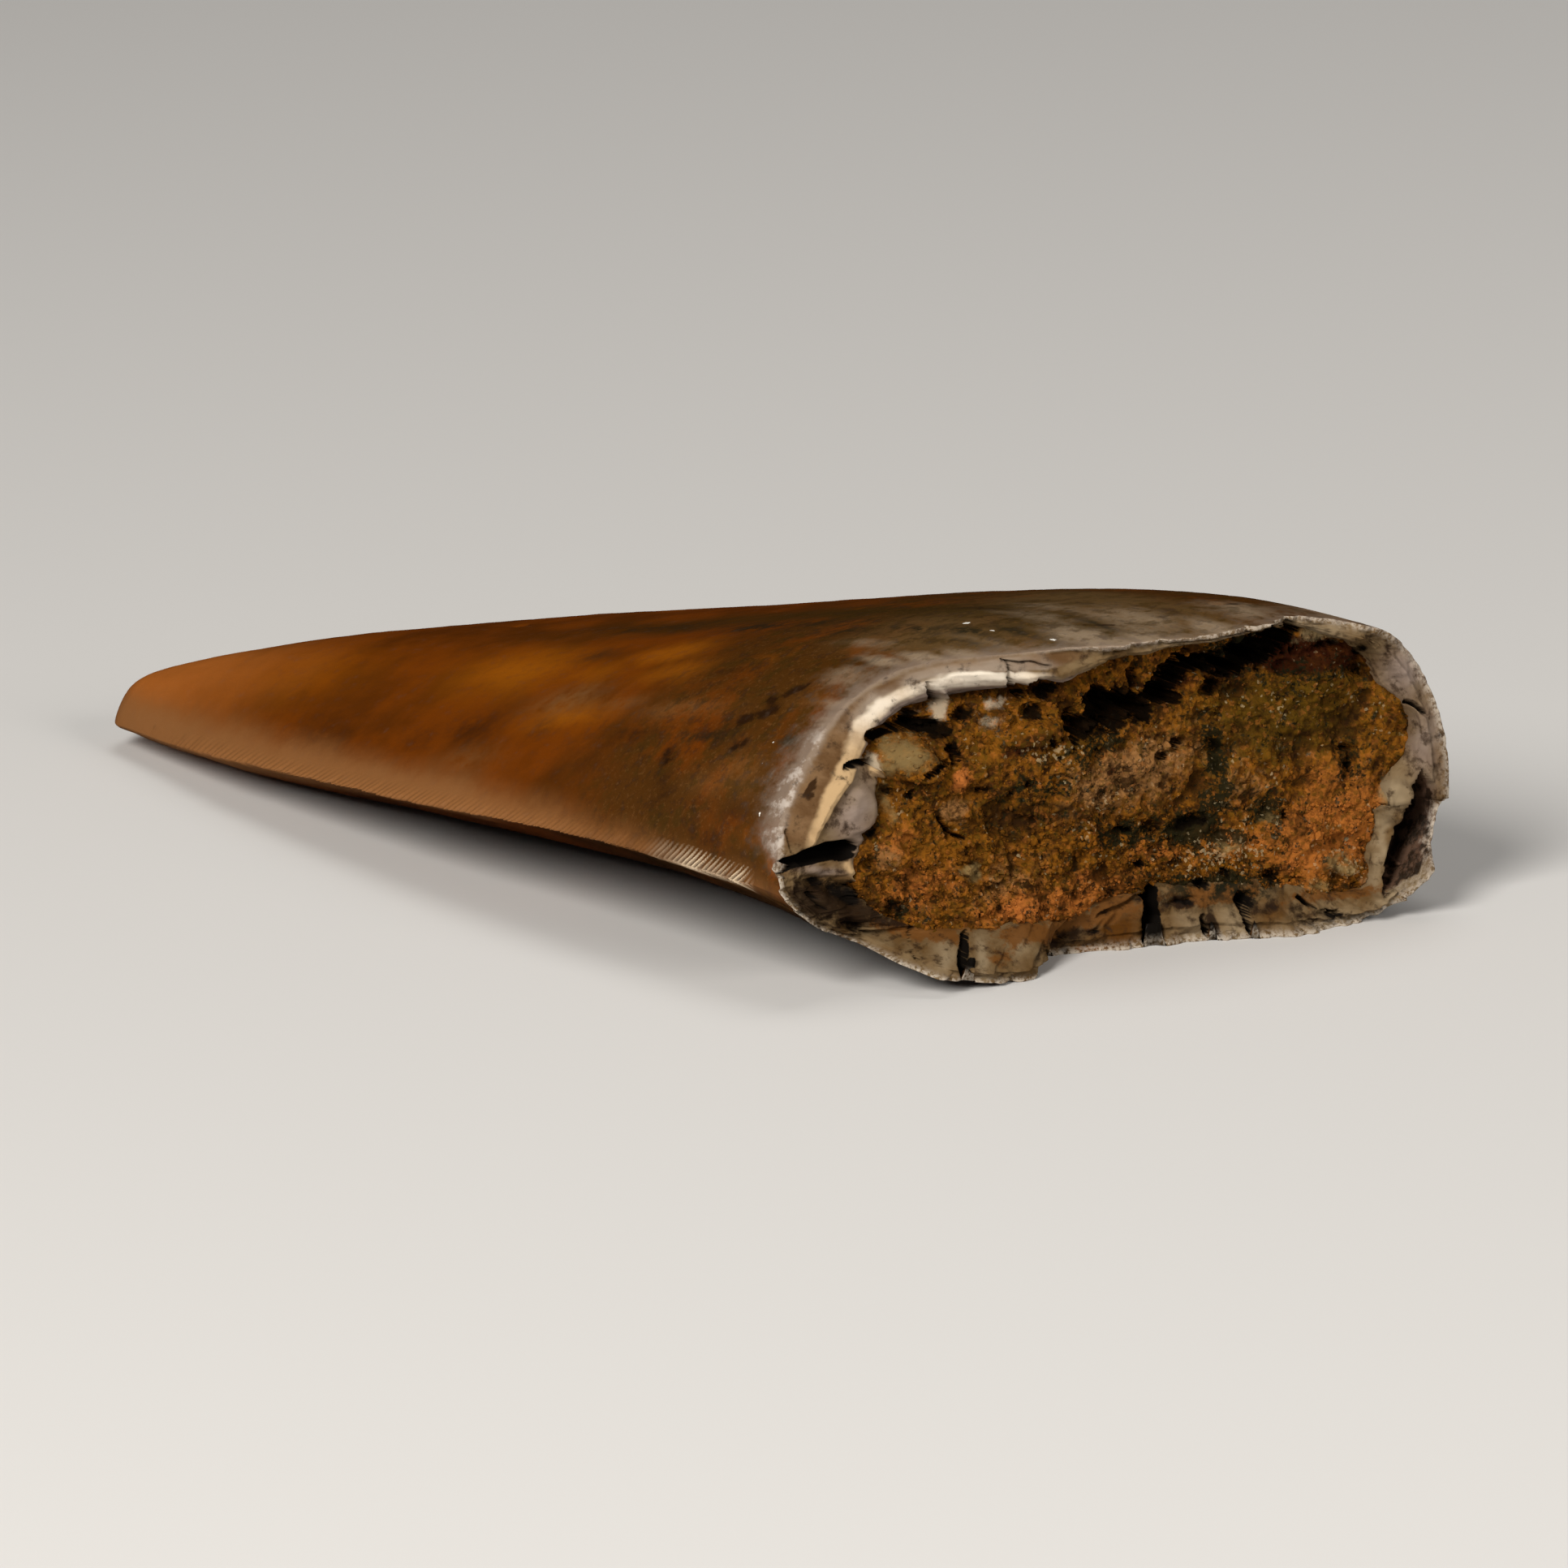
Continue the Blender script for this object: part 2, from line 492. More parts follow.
def ringNoise(turn, size, seed):
    # soft noise round the section, size in degrees: the ring's radius is the degrees in a radian
    radius = 57.3
    ring = np.stack([np.cos(turn), np.sin(turn), np.zeros_like(turn)], axis=-1) * radius
    return softNoise(ring, size, seed)


def chipNoise(turn, size, seed):
    # flat-topped steps with short slopes, as broken edges have
    return ease(ringNoise(turn, size, seed), -0.25, 0.25) - 0.5


def station(name, turn):
    # the value of a row of stations at each turn
    degrees, values = zip(*rimForm[name])
    return np.interp(np.degrees(turn) % 360, degrees, values, period=360)


def lineAway(across, level, start, end):
    # how far a place is from a straight line between two others, and how far along the line it lies
    start, end = np.array(start), np.array(end)
    run = end - start
    part = np.clip(((across - start[0]) * run[0] + (level - start[1]) * run[1]) / (run @ run), 0, 1)
    return np.hypot(across - start[0] - run[0] * part, level - start[1] - run[1] * part), part


def crackDepth(across, level):
    # steep-sided cracks, their lines wandering a little: depth * exp(-(away / half width)^4)
    place = onFace(across, level)
    wander = 0.05 * softNoise(place, 0.35, 81) + 0.01 * softNoise(place, 0.15, 82)
    depth = np.zeros_like(across)
    for start, end, startHalf, endHalf, deep in faceForm["cracks"]:
        away, part = lineAway(across + wander, level + wander, start, end)
        halfWidth = startHalf + (endHalf - startHalf) * part
        depth = np.maximum(depth, deep * np.exp(-(away / halfWidth)**4))
    return depth


def bentTrough(across, level, stops, ragged, full, none):
    # 1 inside a tube along the places, 0 outside it; its slope lies between two shares of the half width
    total = np.zeros_like(across)
    for start, end in zip(stops[:-1], stops[1:]):
        away, part = lineAway(across, level, start[:2], end[:2])
        halfWidth = start[2] + (end[2] - start[2]) * part
        total = np.maximum(total, 1 - ease(away + ragged, full * halfWidth, none * halfWidth))
    return total


def slotDepth(across, level):
    # a steep-sided bent slot, its border wandering a little
    ragged = 0.05 * layeredNoise(onFace(across, level), 0.5, 83, 4, 0.6)
    return faceForm["slotDepth"] * bentTrough(across, level, faceForm["slot"], ragged, 0.72, 1.08)


def hollows(across, level):
    # the deepest of the hollows at each place, and how dark it is there
    place = onFace(across, level)
    bend = 0.06 * layeredNoise(place, 0.22, 84, 4, 0.75)
    depth, darkness = np.zeros_like(across), np.zeros_like(across)
    for *spot, deep, dark in faceForm["hollows"]:
        inside = ease(lump(across + bend, level - 0.8 * bend, *spot), 0.05, 0.90)
        depth = np.maximum(depth, deep * inside)
        darkness = np.maximum(darkness, dark * inside)
    ragged = 0.17 * layeredNoise(place, 0.7, 85, 5, 0.65)
    ragged = ragged + 0.14 * layeredNoise(place, 0.24, 89, 3, 0.7)
    trough = bentTrough(across, level, faceForm["trough"], ragged, 0.45, 1.35)
    depth = np.maximum(depth, trough * faceForm["troughDepth"])
    darkness = np.maximum(darkness, bentTrough(across, level, faceForm["trough"], ragged, 0.8, 1.6))
    return depth * (1 + 0.35 * layeredNoise(place, 0.35, 87, 3)), darkness


def proudHeight(across, level):
    # how far the proud pieces stand out: height * ease(lump), so that their tops are nearly flat
    bend = 0.05 * layeredNoise(onFace(across, level), 0.5, 86, 3)
    total = np.zeros_like(across)
    for *spot, high in faceForm["proud"]:
        total = np.maximum(total, high * ease(lump(across + bend, level + bend, *spot), 0.2, 0.6))
    return total


# Where each colour of the sand and the wall lies: across, level, half length, half width, slant, strength
faceZones = {
    "lavender": (
        (2.6, 5.55, 0.7, 0.18, 35, 0.9), (1.75, 3.75, 0.42, 0.75, -10, 1.0),
        (13.8, 5.1, 0.5, 0.55, 0, 1.0), (14.1, 3.6, 0.35, 0.8, 0, 0.8), (14.05, 2.1, 0.25, 0.9, 0, 0.9),
        (0.9, 2.72, 0.5, 0.1, -10, 0.8), (2.33, 2.81, 0.26, 0.26, 0, 0.9),
        (3.05, 5.62, 0.4, 0.12, 0, 0.8),
    ),
    "umber": (
        (0.8, 2.1, 0.9, 0.45, -28, 1.0), (1.5, 1.8, 0.8, 0.5, -35, 1.0), (6.2, 0.5, 0.7, 0.25, 0, 0.8),
        (11.9, 0.2, 0.5, 0.2, 0, 0.6), (0.75, 4.5, 0.12, 0.34, -22, 1.3),
        (2.5, 1.6, 0.5, 0.4, -20, 0.9), (9.22, 0.45, 0.14, 0.5, 15, 1.1),
        (10.4, 0.6, 0.35, 0.25, 0, 0.7), (11.1, 0.4, 0.15, 0.4, 25, 0.7),
        (4.7, 0.2, 0.25, 0.22, 0, 0.35), (2.75, 0.85, 0.35, 0.22, -20, 0.4),
        (8.6, 0.95, 0.5, 0.15, 0, 0.7),
    ),
    "plate": (
        (13.38, 2.62, 0.34, 0.36, -10, 1.2), (13.12, 1.7, 0.15, 1.1, -12, 0.9),
        (13.4, 0.55, 0.7, 0.16, 25, 1.0), (8.84, 0.42, 0.28, 0.4, 18, 0.6),
        (9.76, 0.32, 0.28, 0.4, 18, 0.8), (11.9, 0.05, 0.6, 0.2, 4, 0.9),
        (3.4, 0.55, 0.25, 0.35, 0, 0.9), (4.25, 0.4, 0.16, 0.4, 0, 1.0), (5.1, 0.45, 0.2, 0.3, 0, 0.6),
        (11.9, 6.2, 0.55, 0.22, 0, 0.9), (12.8, 0.85, 0.4, 0.18, 10, 0.6),
    ),
    "chalk": (
        (4.25, 6.2, 1.8, 0.45, 0, 1.2), (2.3, 5.95, 0.9, 0.5, 20, 0.9), (5.9, 6.1, 0.6, 0.3, 0, 0.9),
    ),
    "web": (
        (3.64, 5.85, 0.2, 0.42, -8, 1.4), (4.72, 5.3, 0.26, 0.26, 0, 0.35),
        (4.85, 5.66, 0.38, 0.09, 5, 0.75), (2.16, 4.68, 0.14, 0.28, 10, 1.6),
        (2.9, 5.6, 0.35, 0.1, 20, 0.6),
    ),
    "dust": (
        (3.0, 1.25, 1.3, 0.3, -15, 0.9), (5.4, 0.75, 0.9, 0.3, 0, 1.0), (6.9, 0.95, 1.2, 0.32, 8, 1.0),
        (9.3, 1.05, 1.5, 0.26, 0, 0.8), (12.0, 0.7, 1.2, 0.2, 0, 0.8), (4.6, 0.35, 0.5, 0.3, 0, 0.5),
        (1.6, 3.0, 0.6, 0.2, 0, 0.4), (6.5, 0.2, 0.9, 0.2, 0, 0.5),
    ),
    "amberFace": ((7.27, 0.56, 0.55, 0.35, 10, 1.2), (10.65, 0.5, 0.35, 0.3, 0, 0.7)),
    "ochre": ((5.4, 5.0, 1.1, 0.5, 5, 1.0), (3.3, 2.7, 1.2, 0.9, 0, 0.7), (6.2, 1.2, 1.6, 0.6, 8, 0.5)),
    "orange": (
        (12.0, 2.0, 1.6, 1.0, 20, 1.0), (6.2, 1.25, 1.5, 0.45, 8, 1.1), (2.9, 2.0, 1.0, 0.6, 0, 0.7),
        (2.6, 3.1, 0.5, 0.4, 0, 0.6), (9.9, 2.1, 1.2, 0.35, 0, 0.7), (3.96, 4.22, 0.13, 0.26, 0, 2.4),
        (6.5, 1.05, 0.3, 0.2, 0, 1.2), (8.1, 2.15, 0.7, 0.25, 0, 0.7), (12.0, 3.2, 0.8, 0.6, 0, 0.6),
        (5.0, 1.3, 0.8, 0.35, 0, 1.0),
    ),
    "olive": (
        (11.1, 4.7, 1.9, 1.1, 0, 1.0), (4.4, 4.5, 0.5, 0.4, 0, 0.5), (9.5, 3.9, 0.5, 0.7, 0, 0.7),
        (6.5, 4.6, 0.8, 0.35, 15, 0.6),
    ),
    "salted": (
        (9.5, 1.85, 0.9, 0.25, 0, 0.8), (6.0, 4.45, 0.5, 0.12, 0, 0.8), (12.3, 1.2, 0.35, 0.25, 0, 0.7),
        (10.9, 5.0, 0.5, 0.3, 0, 0.3), (7.0, 3.3, 0.5, 0.2, 0, 0.4),
    ),
    "pink": (
        (7.6, 3.8, 1.6, 0.6, 12, 1.0), (3.85, 3.52, 0.3, 0.24, 0, 1.3), (10.0, 3.2, 0.8, 0.5, 0, 0.5),
        (2.33, 2.81, 0.3, 0.28, 0, 1.0), (4.9, 1.9, 1.0, 0.5, 0, 0.5),
    ),
    "shade": (
        (5.7, 4.66, 1.0, 0.22, 10, 1.0), (5.6, 3.3, 1.3, 0.3, 0, 0.9), (3.04, 4.05, 0.5, 0.22, 0, 0.9),
        (6.6, 3.1, 0.8, 0.3, 0, 0.7), (4.0, 4.85, 0.3, 0.4, 0, 0.9), (5.0, 3.86, 1.2, 0.14, -4, 0.9),
        (11.0, 5.95, 1.3, 0.24, -4, 1.1), (7.3, 2.72, 0.9, 0.2, 0, 0.8), (9.9, 5.4, 0.8, 0.2, 10, 0.8),
        (7.2, 4.75, 0.8, 0.2, 15, 0.7), (8.3, 4.95, 0.9, 0.22, 18, 0.7), (5.9, 2.35, 0.8, 0.2, 0, 0.5),
        (1.9, 3.0, 0.3, 0.5, 0, 0.6), (2.4, 1.75, 0.6, 0.22, -20, 0.9),
    ),
    "ember": (
        (3.9, 4.23, 0.12, 0.24, 0, 1.8), (6.23, 1.32, 0.45, 0.22, 10, 0.6),
        (6.69, 1.69, 0.3, 0.18, 20, 0.5), (5.0, 1.3, 0.55, 0.28, 0, 0.7),
        (9.72, 2.21, 0.25, 0.16, 0, 0.6), (12.65, 1.6, 0.45, 0.55, 0, 0.5),
        (12.7, 0.8, 0.24, 0.16, 0, 0.7), (2.8, 2.3, 0.4, 0.3, 0, 0.5), (4.71, 0.85, 0.18, 0.12, 0, 0.9),
        (11.2, 1.5, 0.7, 0.3, 0, 0.5), (3.64, 2.02, 0.4, 0.2, 0, 0.5),
    ),
    "rust": (
        (11.6, 5.8, 1.3, 0.36, -8, 2.2), (9.9, 5.7, 0.7, 0.3, 10, 0.8), (8.6, 5.6, 0.8, 0.3, 0, 0.7),
        (7.3, 3.85, 0.12, 0.12, 0, 1.0), (6.9, 2.7, 0.5, 0.3, 0, 0.6), (5.3, 4.5, 0.5, 0.2, 0, 0.6),
    ),
    "grey": (
        (2.86, 4.8, 0.6, 0.34, -22, 1.0), (2.5, 4.6, 0.35, 0.25, 0, 0.8),
        (4.07, 2.3, 0.22, 0.15, 10, 1.0), (12.2, 1.2, 0.32, 0.18, 0, 0.9),
        (9.7, 2.0, 0.3, 0.15, 0, 0.9), (10.6, 2.4, 0.4, 0.2, 0, 0.4), (2.35, 3.9, 0.2, 0.5, 0, 0.6),
        (11.7, 0.85, 0.3, 0.15, 0, 0.7),
    ),
    "moss": (
        (8.87, 2.58, 0.75, 0.34, 4, 1.2), (9.5, 2.2, 0.6, 0.18, 0, 0.9), (10.6, 2.6, 0.45, 0.3, 0, 1.1),
        (9.3, 1.2, 1.1, 0.34, 0, 1.2), (10.1, 0.95, 0.6, 0.26, 0, 1.2), (9.5, 4.0, 0.24, 0.6, 8, 0.9),
        (9.55, 3.2, 0.3, 0.35, 0, 0.9), (12.42, 3.5, 0.34, 0.46, 0, 0.5),
        (7.4, 2.6, 0.8, 0.22, -6, 0.8), (10.2, 6.1, 1.1, 0.22, 10, 0.9), (11.4, 5.4, 1.3, 0.3, -8, 0.4),
        (5.6, 3.8, 0.9, 0.2, 0, 0.5), (2.5, 1.7, 0.3, 0.25, 0, 0.6), (7.1, 4.5, 0.8, 0.25, 20, 0.6),
    ),
}


def faceMarks(across, level):
    # soft masks of the colours, their borders broken up by noise
    bend = 0.11 * layeredNoise(onFace(across, level), 0.6, 88, 4, 0.65)
    return {name: np.clip(strongestLump(across + bend, level - bend, zones), 0, 1)
            for name, zones in faceZones.items()}


def layerPoints(height, turn, inwards):
    # a point the given millimetres in from the outer surface, on the line to the cavity wall
    outer = crownPoints(height, turn)
    inner = crownPoints(height, turn, crownForm["walls"])
    thickness = np.maximum(np.linalg.norm(inner - outer, axis=-1), 0.2)
    return outer + (inner - outer) * (inwards / thickness)[..., None]


def brokenStops(turn):
    # how rough each place round the end is, the skin's edge, and the stops of the broken face from there to
    # deep inside the wall: millimetres in, millimetres back, and rows up to the stop
    degrees = np.degrees(turn)
    calm = 1 - 0.8 * ease(degrees, 8, 16) * (1 - ease(degrees, 78, 90))
    calm = calm - 0.7 * ease(degrees, 140, 155) * (1 - ease(degrees, 205, 215))
    chips = calm * (0.13 * chipNoise(turn, 5.0, 31) + 0.07 * chipNoise(turn, 2.1, 32))
    edge = station("edge", turn) + chips + 0.02 * ringNoise(turn, 0.9, 33)
    ragged = calm * (0.10 * chipNoise(turn, 4.0, 35) + 0.04 * ringNoise(turn, 1.1, 36))
    crestIn, crestWide = station("crestIn", turn), station("crestWide", turn)
    crestBack = station("crestBack", turn) + ragged
    wall = station("wall", turn) + 0.08 * ringNoise(turn, 5.0, 41) + 0.06 * calm * ringNoise(turn, 1.6, 42)
    wallBack = station("wallBack", turn)
    enamel = np.minimum(rimForm["enamel"], crestIn * 0.6)
    full = np.ones_like(turn)
    # along the calm chip the skin goes over in a plain bevel, elsewhere a thin rind stands a little proud
    bevel = (1 - calm) * (degrees < 100) * 1.25 * (crestBack - edge)
    stops = (
        (0.02 * full, edge - 0.015 * calm + 0.06 * bevel, 1),
        (enamel, edge + 0.35 * bevel, 3),
        (enamel + 0.03, edge + 0.05 * calm + 0.42 * bevel, 1),
        (crestIn, crestBack + 0.05, 12),
        (crestIn + 0.3 * crestWide, crestBack - 0.02, 4),
        (crestIn + 0.65 * crestWide, crestBack + 0.04, 5),
        (np.minimum(crestIn + crestWide, wall * 0.92), crestBack + 0.06 + 0.3 * crestWide, 5),
        (wall, wallBack, 15),
        (wall + 0.10, (rimForm["deepest"] - 0.7) * full, 6),
        (0.45 * full, rimForm["deepest"] * full, 2),
    )
    return 0.4 + 0.6 * calm, edge, stops


def rowsBetween(edge, stops):
    # rows of millimetres in and back that run straight from each stop to the next
    rows, before = [], np.stack([np.zeros_like(edge), edge])[:, None]
    for inwards, back, count in stops:
        way = (np.arange(count) + 1)[:, None] / count
        stop = np.stack([inwards, back])[:, None]
        rows.append(before + (stop - before) * way)
        before = stop
    return np.concatenate(rows, axis=1)


def edgeMarks(turn, away, inwards):
    # a rind at the skin's edge, exp(-(distance / width)^2), and the rubbed band, exp(-(distance / width))
    degrees = np.degrees(turn)
    plain = 1 - 0.9 * ease(degrees, 16, 30) * (1 - ease(degrees, 74, 88))
    rind = plain * np.concatenate([np.exp(-(away / 0.16)**2), np.exp(-(inwards / 0.12)**2)])
    rubbed = np.concatenate([np.exp(-np.maximum(away, 0) / 0.50), np.exp(-(inwards / 0.10)**2)])
    rubbed = rubbed * ease(degrees, 4, 18) * (1 - ease(degrees, 150, 175))
    rubbed = rubbed * (1 - 0.35 * ease(degrees, 44, 60)) * (1 - 0.4 * ease(degrees, 84, 100))
    return {"rind": rind, "rubbed": rubbed, "salted": rubbed * (1 - ease(degrees, 30, 60))}


def layerMarks(turn, points, deep):
    # the bevel, the cream crest and the shadow behind it, by how many millimetres in each place lies
    degrees = np.degrees(turn)
    across, level = faceMap(points)
    crestIn, crestWide = station("crestIn", turn), station("crestWide", turn)
    creamWide = crestWide * (0.98 - 0.40 * ease(degrees, 36, 50) + 0.34 * ease(degrees, 60, 66))
    chipped = ease(degrees, 12, 18) * (1 - ease(degrees, 80, 88))
    bevel = ease(deep, 0.04, 0.14) * (1 - ease(deep, crestIn - 0.08, crestIn)) * chipped
    ragged = deep + 0.07 * layeredNoise(points, 0.5, 93, 4, 0.6)
    cream = ease(ragged, crestIn - 0.16, crestIn + 0.06) * chipped * (1 - ease(degrees, 71, 79))
    cream = cream * (1 - ease(ragged, crestIn + 0.5 * creamWide, crestIn + creamWide + 0.06))
    cream = np.maximum(cream, strongestLump(across, level, faceForm["creamSpots"]))
    start, end, halfWidth = faceForm["creamLine"]
    line = lineAway(across, level, start, end)[0]
    cream = np.maximum(cream, 0.9 * np.exp(-(line / halfWidth)**2))
    shadowed = ease(ragged, crestIn + 0.5 * creamWide, crestIn + creamWide)
    shadowed = shadowed * (1 - ease(ragged, crestIn + crestWide, crestIn + 1.3 * crestWide))
    shadowed = shadowed * ease(degrees, 30, 44) * (1 - ease(degrees, 74, 84))
    return {"bevel": bevel, "cream": cream, "shadowed": shadowed}


def makeBrokenRim():
    # rings from the seam down the outer skin, over the broken layers, and back inside the wall
    form, tall = rimForm, crownForm["crownHeight"]
    turn = np.linspace(0, 2 * math.pi, form["columns"], endpoint=False)
    rough, edge, stops = brokenStops(turn)
    start = form["seamTo"] + form["seamPast"]
    height = start + (edge / tall - start) * np.linspace(0, 1, form["skinRows"])[:, None]**0.85
    skin = skinPoints(height, turn, form["seamSink"] * ease(height, form["seamFrom"], form["seamTo"]))
    split = np.minimum(crackDepth(*faceMap(skin)), 0.5) * ease(height * tall, edge + 0.8, edge)
    skin = skin - skinNormals(height, turn) * split[..., None]

    # the broken layers are moved back by grains and roughness, cracks, the slot and the hollows
    inwards, back = rowsBetween(edge, stops)
    face = ease(inwards, 0.0, 0.15) * (back < form["deepest"] - 0.9)
    flat = layerPoints(back / tall, turn, inwards)
    across, level = faceMap(flat)
    crack, slot = crackDepth(across, level), slotDepth(across, level)
    relief = form["roughHeight"] * layeredNoise(flat, form["roughSize"], 51, 5, 0.6)
    relief = (relief + form["waveHeight"] * softNoise(flat, form["waveSize"], 52)) * rough
    crumbs = grainCells(flat, form["crumbSize"], 57)
    patches = ease(softNoise(flat, form["crumbPatch"], 58), -0.2, 0.4)
    relief = relief + form["crumbHeight"] * rough * ease(crumbs[1], 0.25, 0.0) * patches
    deeper = crack + slot + hollows(across, level)[0] - proudHeight(across, level)
    layers = layerPoints((back + (relief + deeper) * face) / tall, turn, inwards)
    points = np.concatenate([skin, layers])
    points[..., 2] = np.maximum(points[..., 2], 0.0)

    none, seen = np.zeros_like(height), faceMap(layers)
    crack = np.maximum(crack, crackDepth(*seen))
    marks = {
        "crack": np.concatenate([split, crack * face]), "slot": np.concatenate([none, slot * face]),
        "soot": np.concatenate([none, hollows(*seen)[1] * face]),
        "gap": np.concatenate([none, ease(crumbs[1], 0.16, 0.0)]),
        "tone": np.concatenate([none, crumbs[2]]), **skinMarks(points), **faceMarks(*faceMap(points)),
        **edgeMarks(turn, height * tall - edge, inwards),
        **layerMarks(turn, points, np.concatenate([none, inwards])),
    }
    rim = makePiece("brokenRim", points, [gridFaces(len(points), len(turn), wrapRows=True)], marks)
    # the enamel goes on the skin, and the dentine's material on the broken face
    brokenFace = np.repeat(np.arange(len(points)) >= len(skin) - 1, len(turn))
    rim.data.polygons.foreach_set("material_index", brokenFace.astype(np.int32))
    return rim


# Colour marks of the outer skin: height, turn, half length and half width in millimetres, strength
skinSpots = {
    "darkStain": (
        (0.66, 32, 1.5, 0.7, 0.6), (0.7, 50, 2.2, 0.6, 0.15), (0.167, 40, 0.8, 0.35, 0.6),
        (0.08, 20.5, 0.5, 0.3, 0.8), (0.487, 41, 0.9, 0.6, 1.0), (0.4, 42, 0.6, 0.4, 0.6),
        (0.271, 39.5, 0.8, 0.22, 0.9), (0.29, 38, 0.3, 0.2, 0.6), (0.2, 32.5, 0.28, 0.26, 1.0),
        (0.175, 23, 0.35, 0.25, 0.9), (0.185, 27, 0.4, 0.3, 0.6), (0.123, 21.5, 0.25, 0.15, 0.7),
        (0.09, 13, 0.3, 0.2, 0.7), (0.114, 14.5, 0.2, 0.15, 0.6), (0.074, 20, 0.16, 0.14, 0.9),
        (0.065, 21, 0.16, 0.12, 0.9), (0.54, 36, 0.8, 0.5, 0.6), (0.145, 91, 1.1, 0.16, 1.0),
        (0.163, 101, 0.6, 0.2, 0.5), (0.049, 108.5, 0.5, 0.16, 0.7), (0.24, 58, 0.9, 0.14, 0.7),
        (0.3, 31, 0.5, 0.3, 0.4), (0.33, 27, 0.5, 0.3, 0.4),
    ),
    "orangeGlow": (
        (0.372, 69.5, 1.3, 0.55, 1.2), (0.381, 46, 1.4, 0.45, 0.9), (0.075, 29, 0.9, 0.4, 0.9),
        (0.311, 60.5, 1.4, 0.45, 1.0), (0.532, 65.5, 2.0, 1.0, 1.0), (0.191, 63, 1.2, 0.35, 1.0),
        (0.77, 62, 2.4, 1.0, 0.45), (0.43, 63, 1.2, 0.5, 0.6), (0.038, 12, 0.7, 0.4, 1.0),
    ),
    "tanPatch": (
        (0.409, 52, 1.3, 0.5, 1.0), (0.24, 47, 1.5, 0.28, 0.9), (0.33, 50, 1.0, 0.3, 0.7),
        (0.1, 30, 0.8, 0.5, 0.6), (0.13, 27, 0.6, 0.3, 0.5), (0.46, 30, 1.2, 0.4, 0.6),
        (0.085, 50, 0.8, 0.3, 0.7),
    ),
    "mossStreak": (
        (0.18, 38.5, 1.3, 0.14, 0.8), (0.469, 71.5, 0.6, 0.35, 0.6), (0.49, 89.5, 2.4, 0.4, 0.6),
        (0.338, 80.5, 1.4, 0.3, 1.0), (0.19, 73.5, 1.2, 0.3, 0.7), (0.129, 76, 0.9, 0.22, 1.0),
        (0.084, 78, 0.9, 0.24, 1.0), (0.055, 82, 0.9, 0.22, 0.9), (0.4, 84, 2.0, 0.3, 0.6),
        (0.26, 80, 1.5, 0.3, 0.7), (0.075, 39.5, 0.35, 0.14, 1.0), (0.126, 36.5, 0.25, 0.14, 0.9),
        (0.001, 82.5, 0.9, 0.2, 0.6), (0.11, 62, 0.5, 0.12, 0.8), (0.04, 94, 0.6, 0.1, 1.0),
        (0.055, 74.5, 0.9, 0.16, 0.6),
    ),
    "whiteFleck": (
        (0.105, 81, 0.085, 0.07, 1.5), (0.068, 80, 0.06, 0.045, 1.5), (0.021, 83.5, 0.075, 0.04, 1.5),
        (0.083, 33.5, 0.035, 0.03, 0.9), (0.09, 38.5, 0.03, 0.03, 0.9), (0.077, 14, 0.03, 0.02, 0.9),
        (0.049, 21.5, 0.04, 0.03, 0.9), (0.04, 22.5, 0.03, 0.03, 0.9), (0.05, 22, 0.03, 0.04, 0.9),
    ),
    "greyPatch": (
        (0.09, 63, 1.0, 0.22, 0.9), (0.058, 66.5, 1.0, 0.22, 1.0), (0.031, 70.5, 1.0, 0.22, 1.0),
        (0.068, 50, 0.4, 0.25, 0.8), (0.056, 45.5, 0.4, 0.22, 0.8), (-0.012, 91, 0.8, 0.45, 1.1),
        (-0.018, 95, 1.2, 0.4, 1.1), (-0.03, 99, 1.0, 0.4, 0.9), (0.0, 108, 1.2, 0.5, 0.9),
        (0.03, 118, 1.4, 0.8, 0.8), (0.02, 140, 1.6, 1.4, 0.9), (-0.01, 75, 0.9, 0.16, 0.9),
        (0.05, 98, 1.2, 0.4, 0.6), (0.095, 58, 1.0, 0.5, 0.7), (0.045, 76, 1.6, 0.4, 0.35),
        (0.01, 88, 1.8, 0.55, 1.0), (0.08, 90, 2.2, 0.5, 0.5), (0.03, 100, 2.2, 0.9, 0.7),
        (0.13, 68, 1.4, 0.25, 0.4), (0.12, 98, 2.0, 0.5, 0.4),
    ),
}

# Dark lines on the skin: from height and turn, to height and turn, half width in millimetres
skinLines = (
    ((0.149, 43.5), (0.124, 46.5), 0.17), ((0.152, 49.5), (0.136, 48.5), 0.1),
    ((0.134, 50), (0.125, 54), 0.12), ((0.129, 36.5), (0.122, 37.5), 0.1),
    ((0.15, 90), (0.128, 92), 0.06), ((0.044, 92), (0.034, 95.5), 0.07),
    ((0.205, 34), (0.195, 32), 0.14), ((0.06, 118), (0.055, 121), 0.12),
)


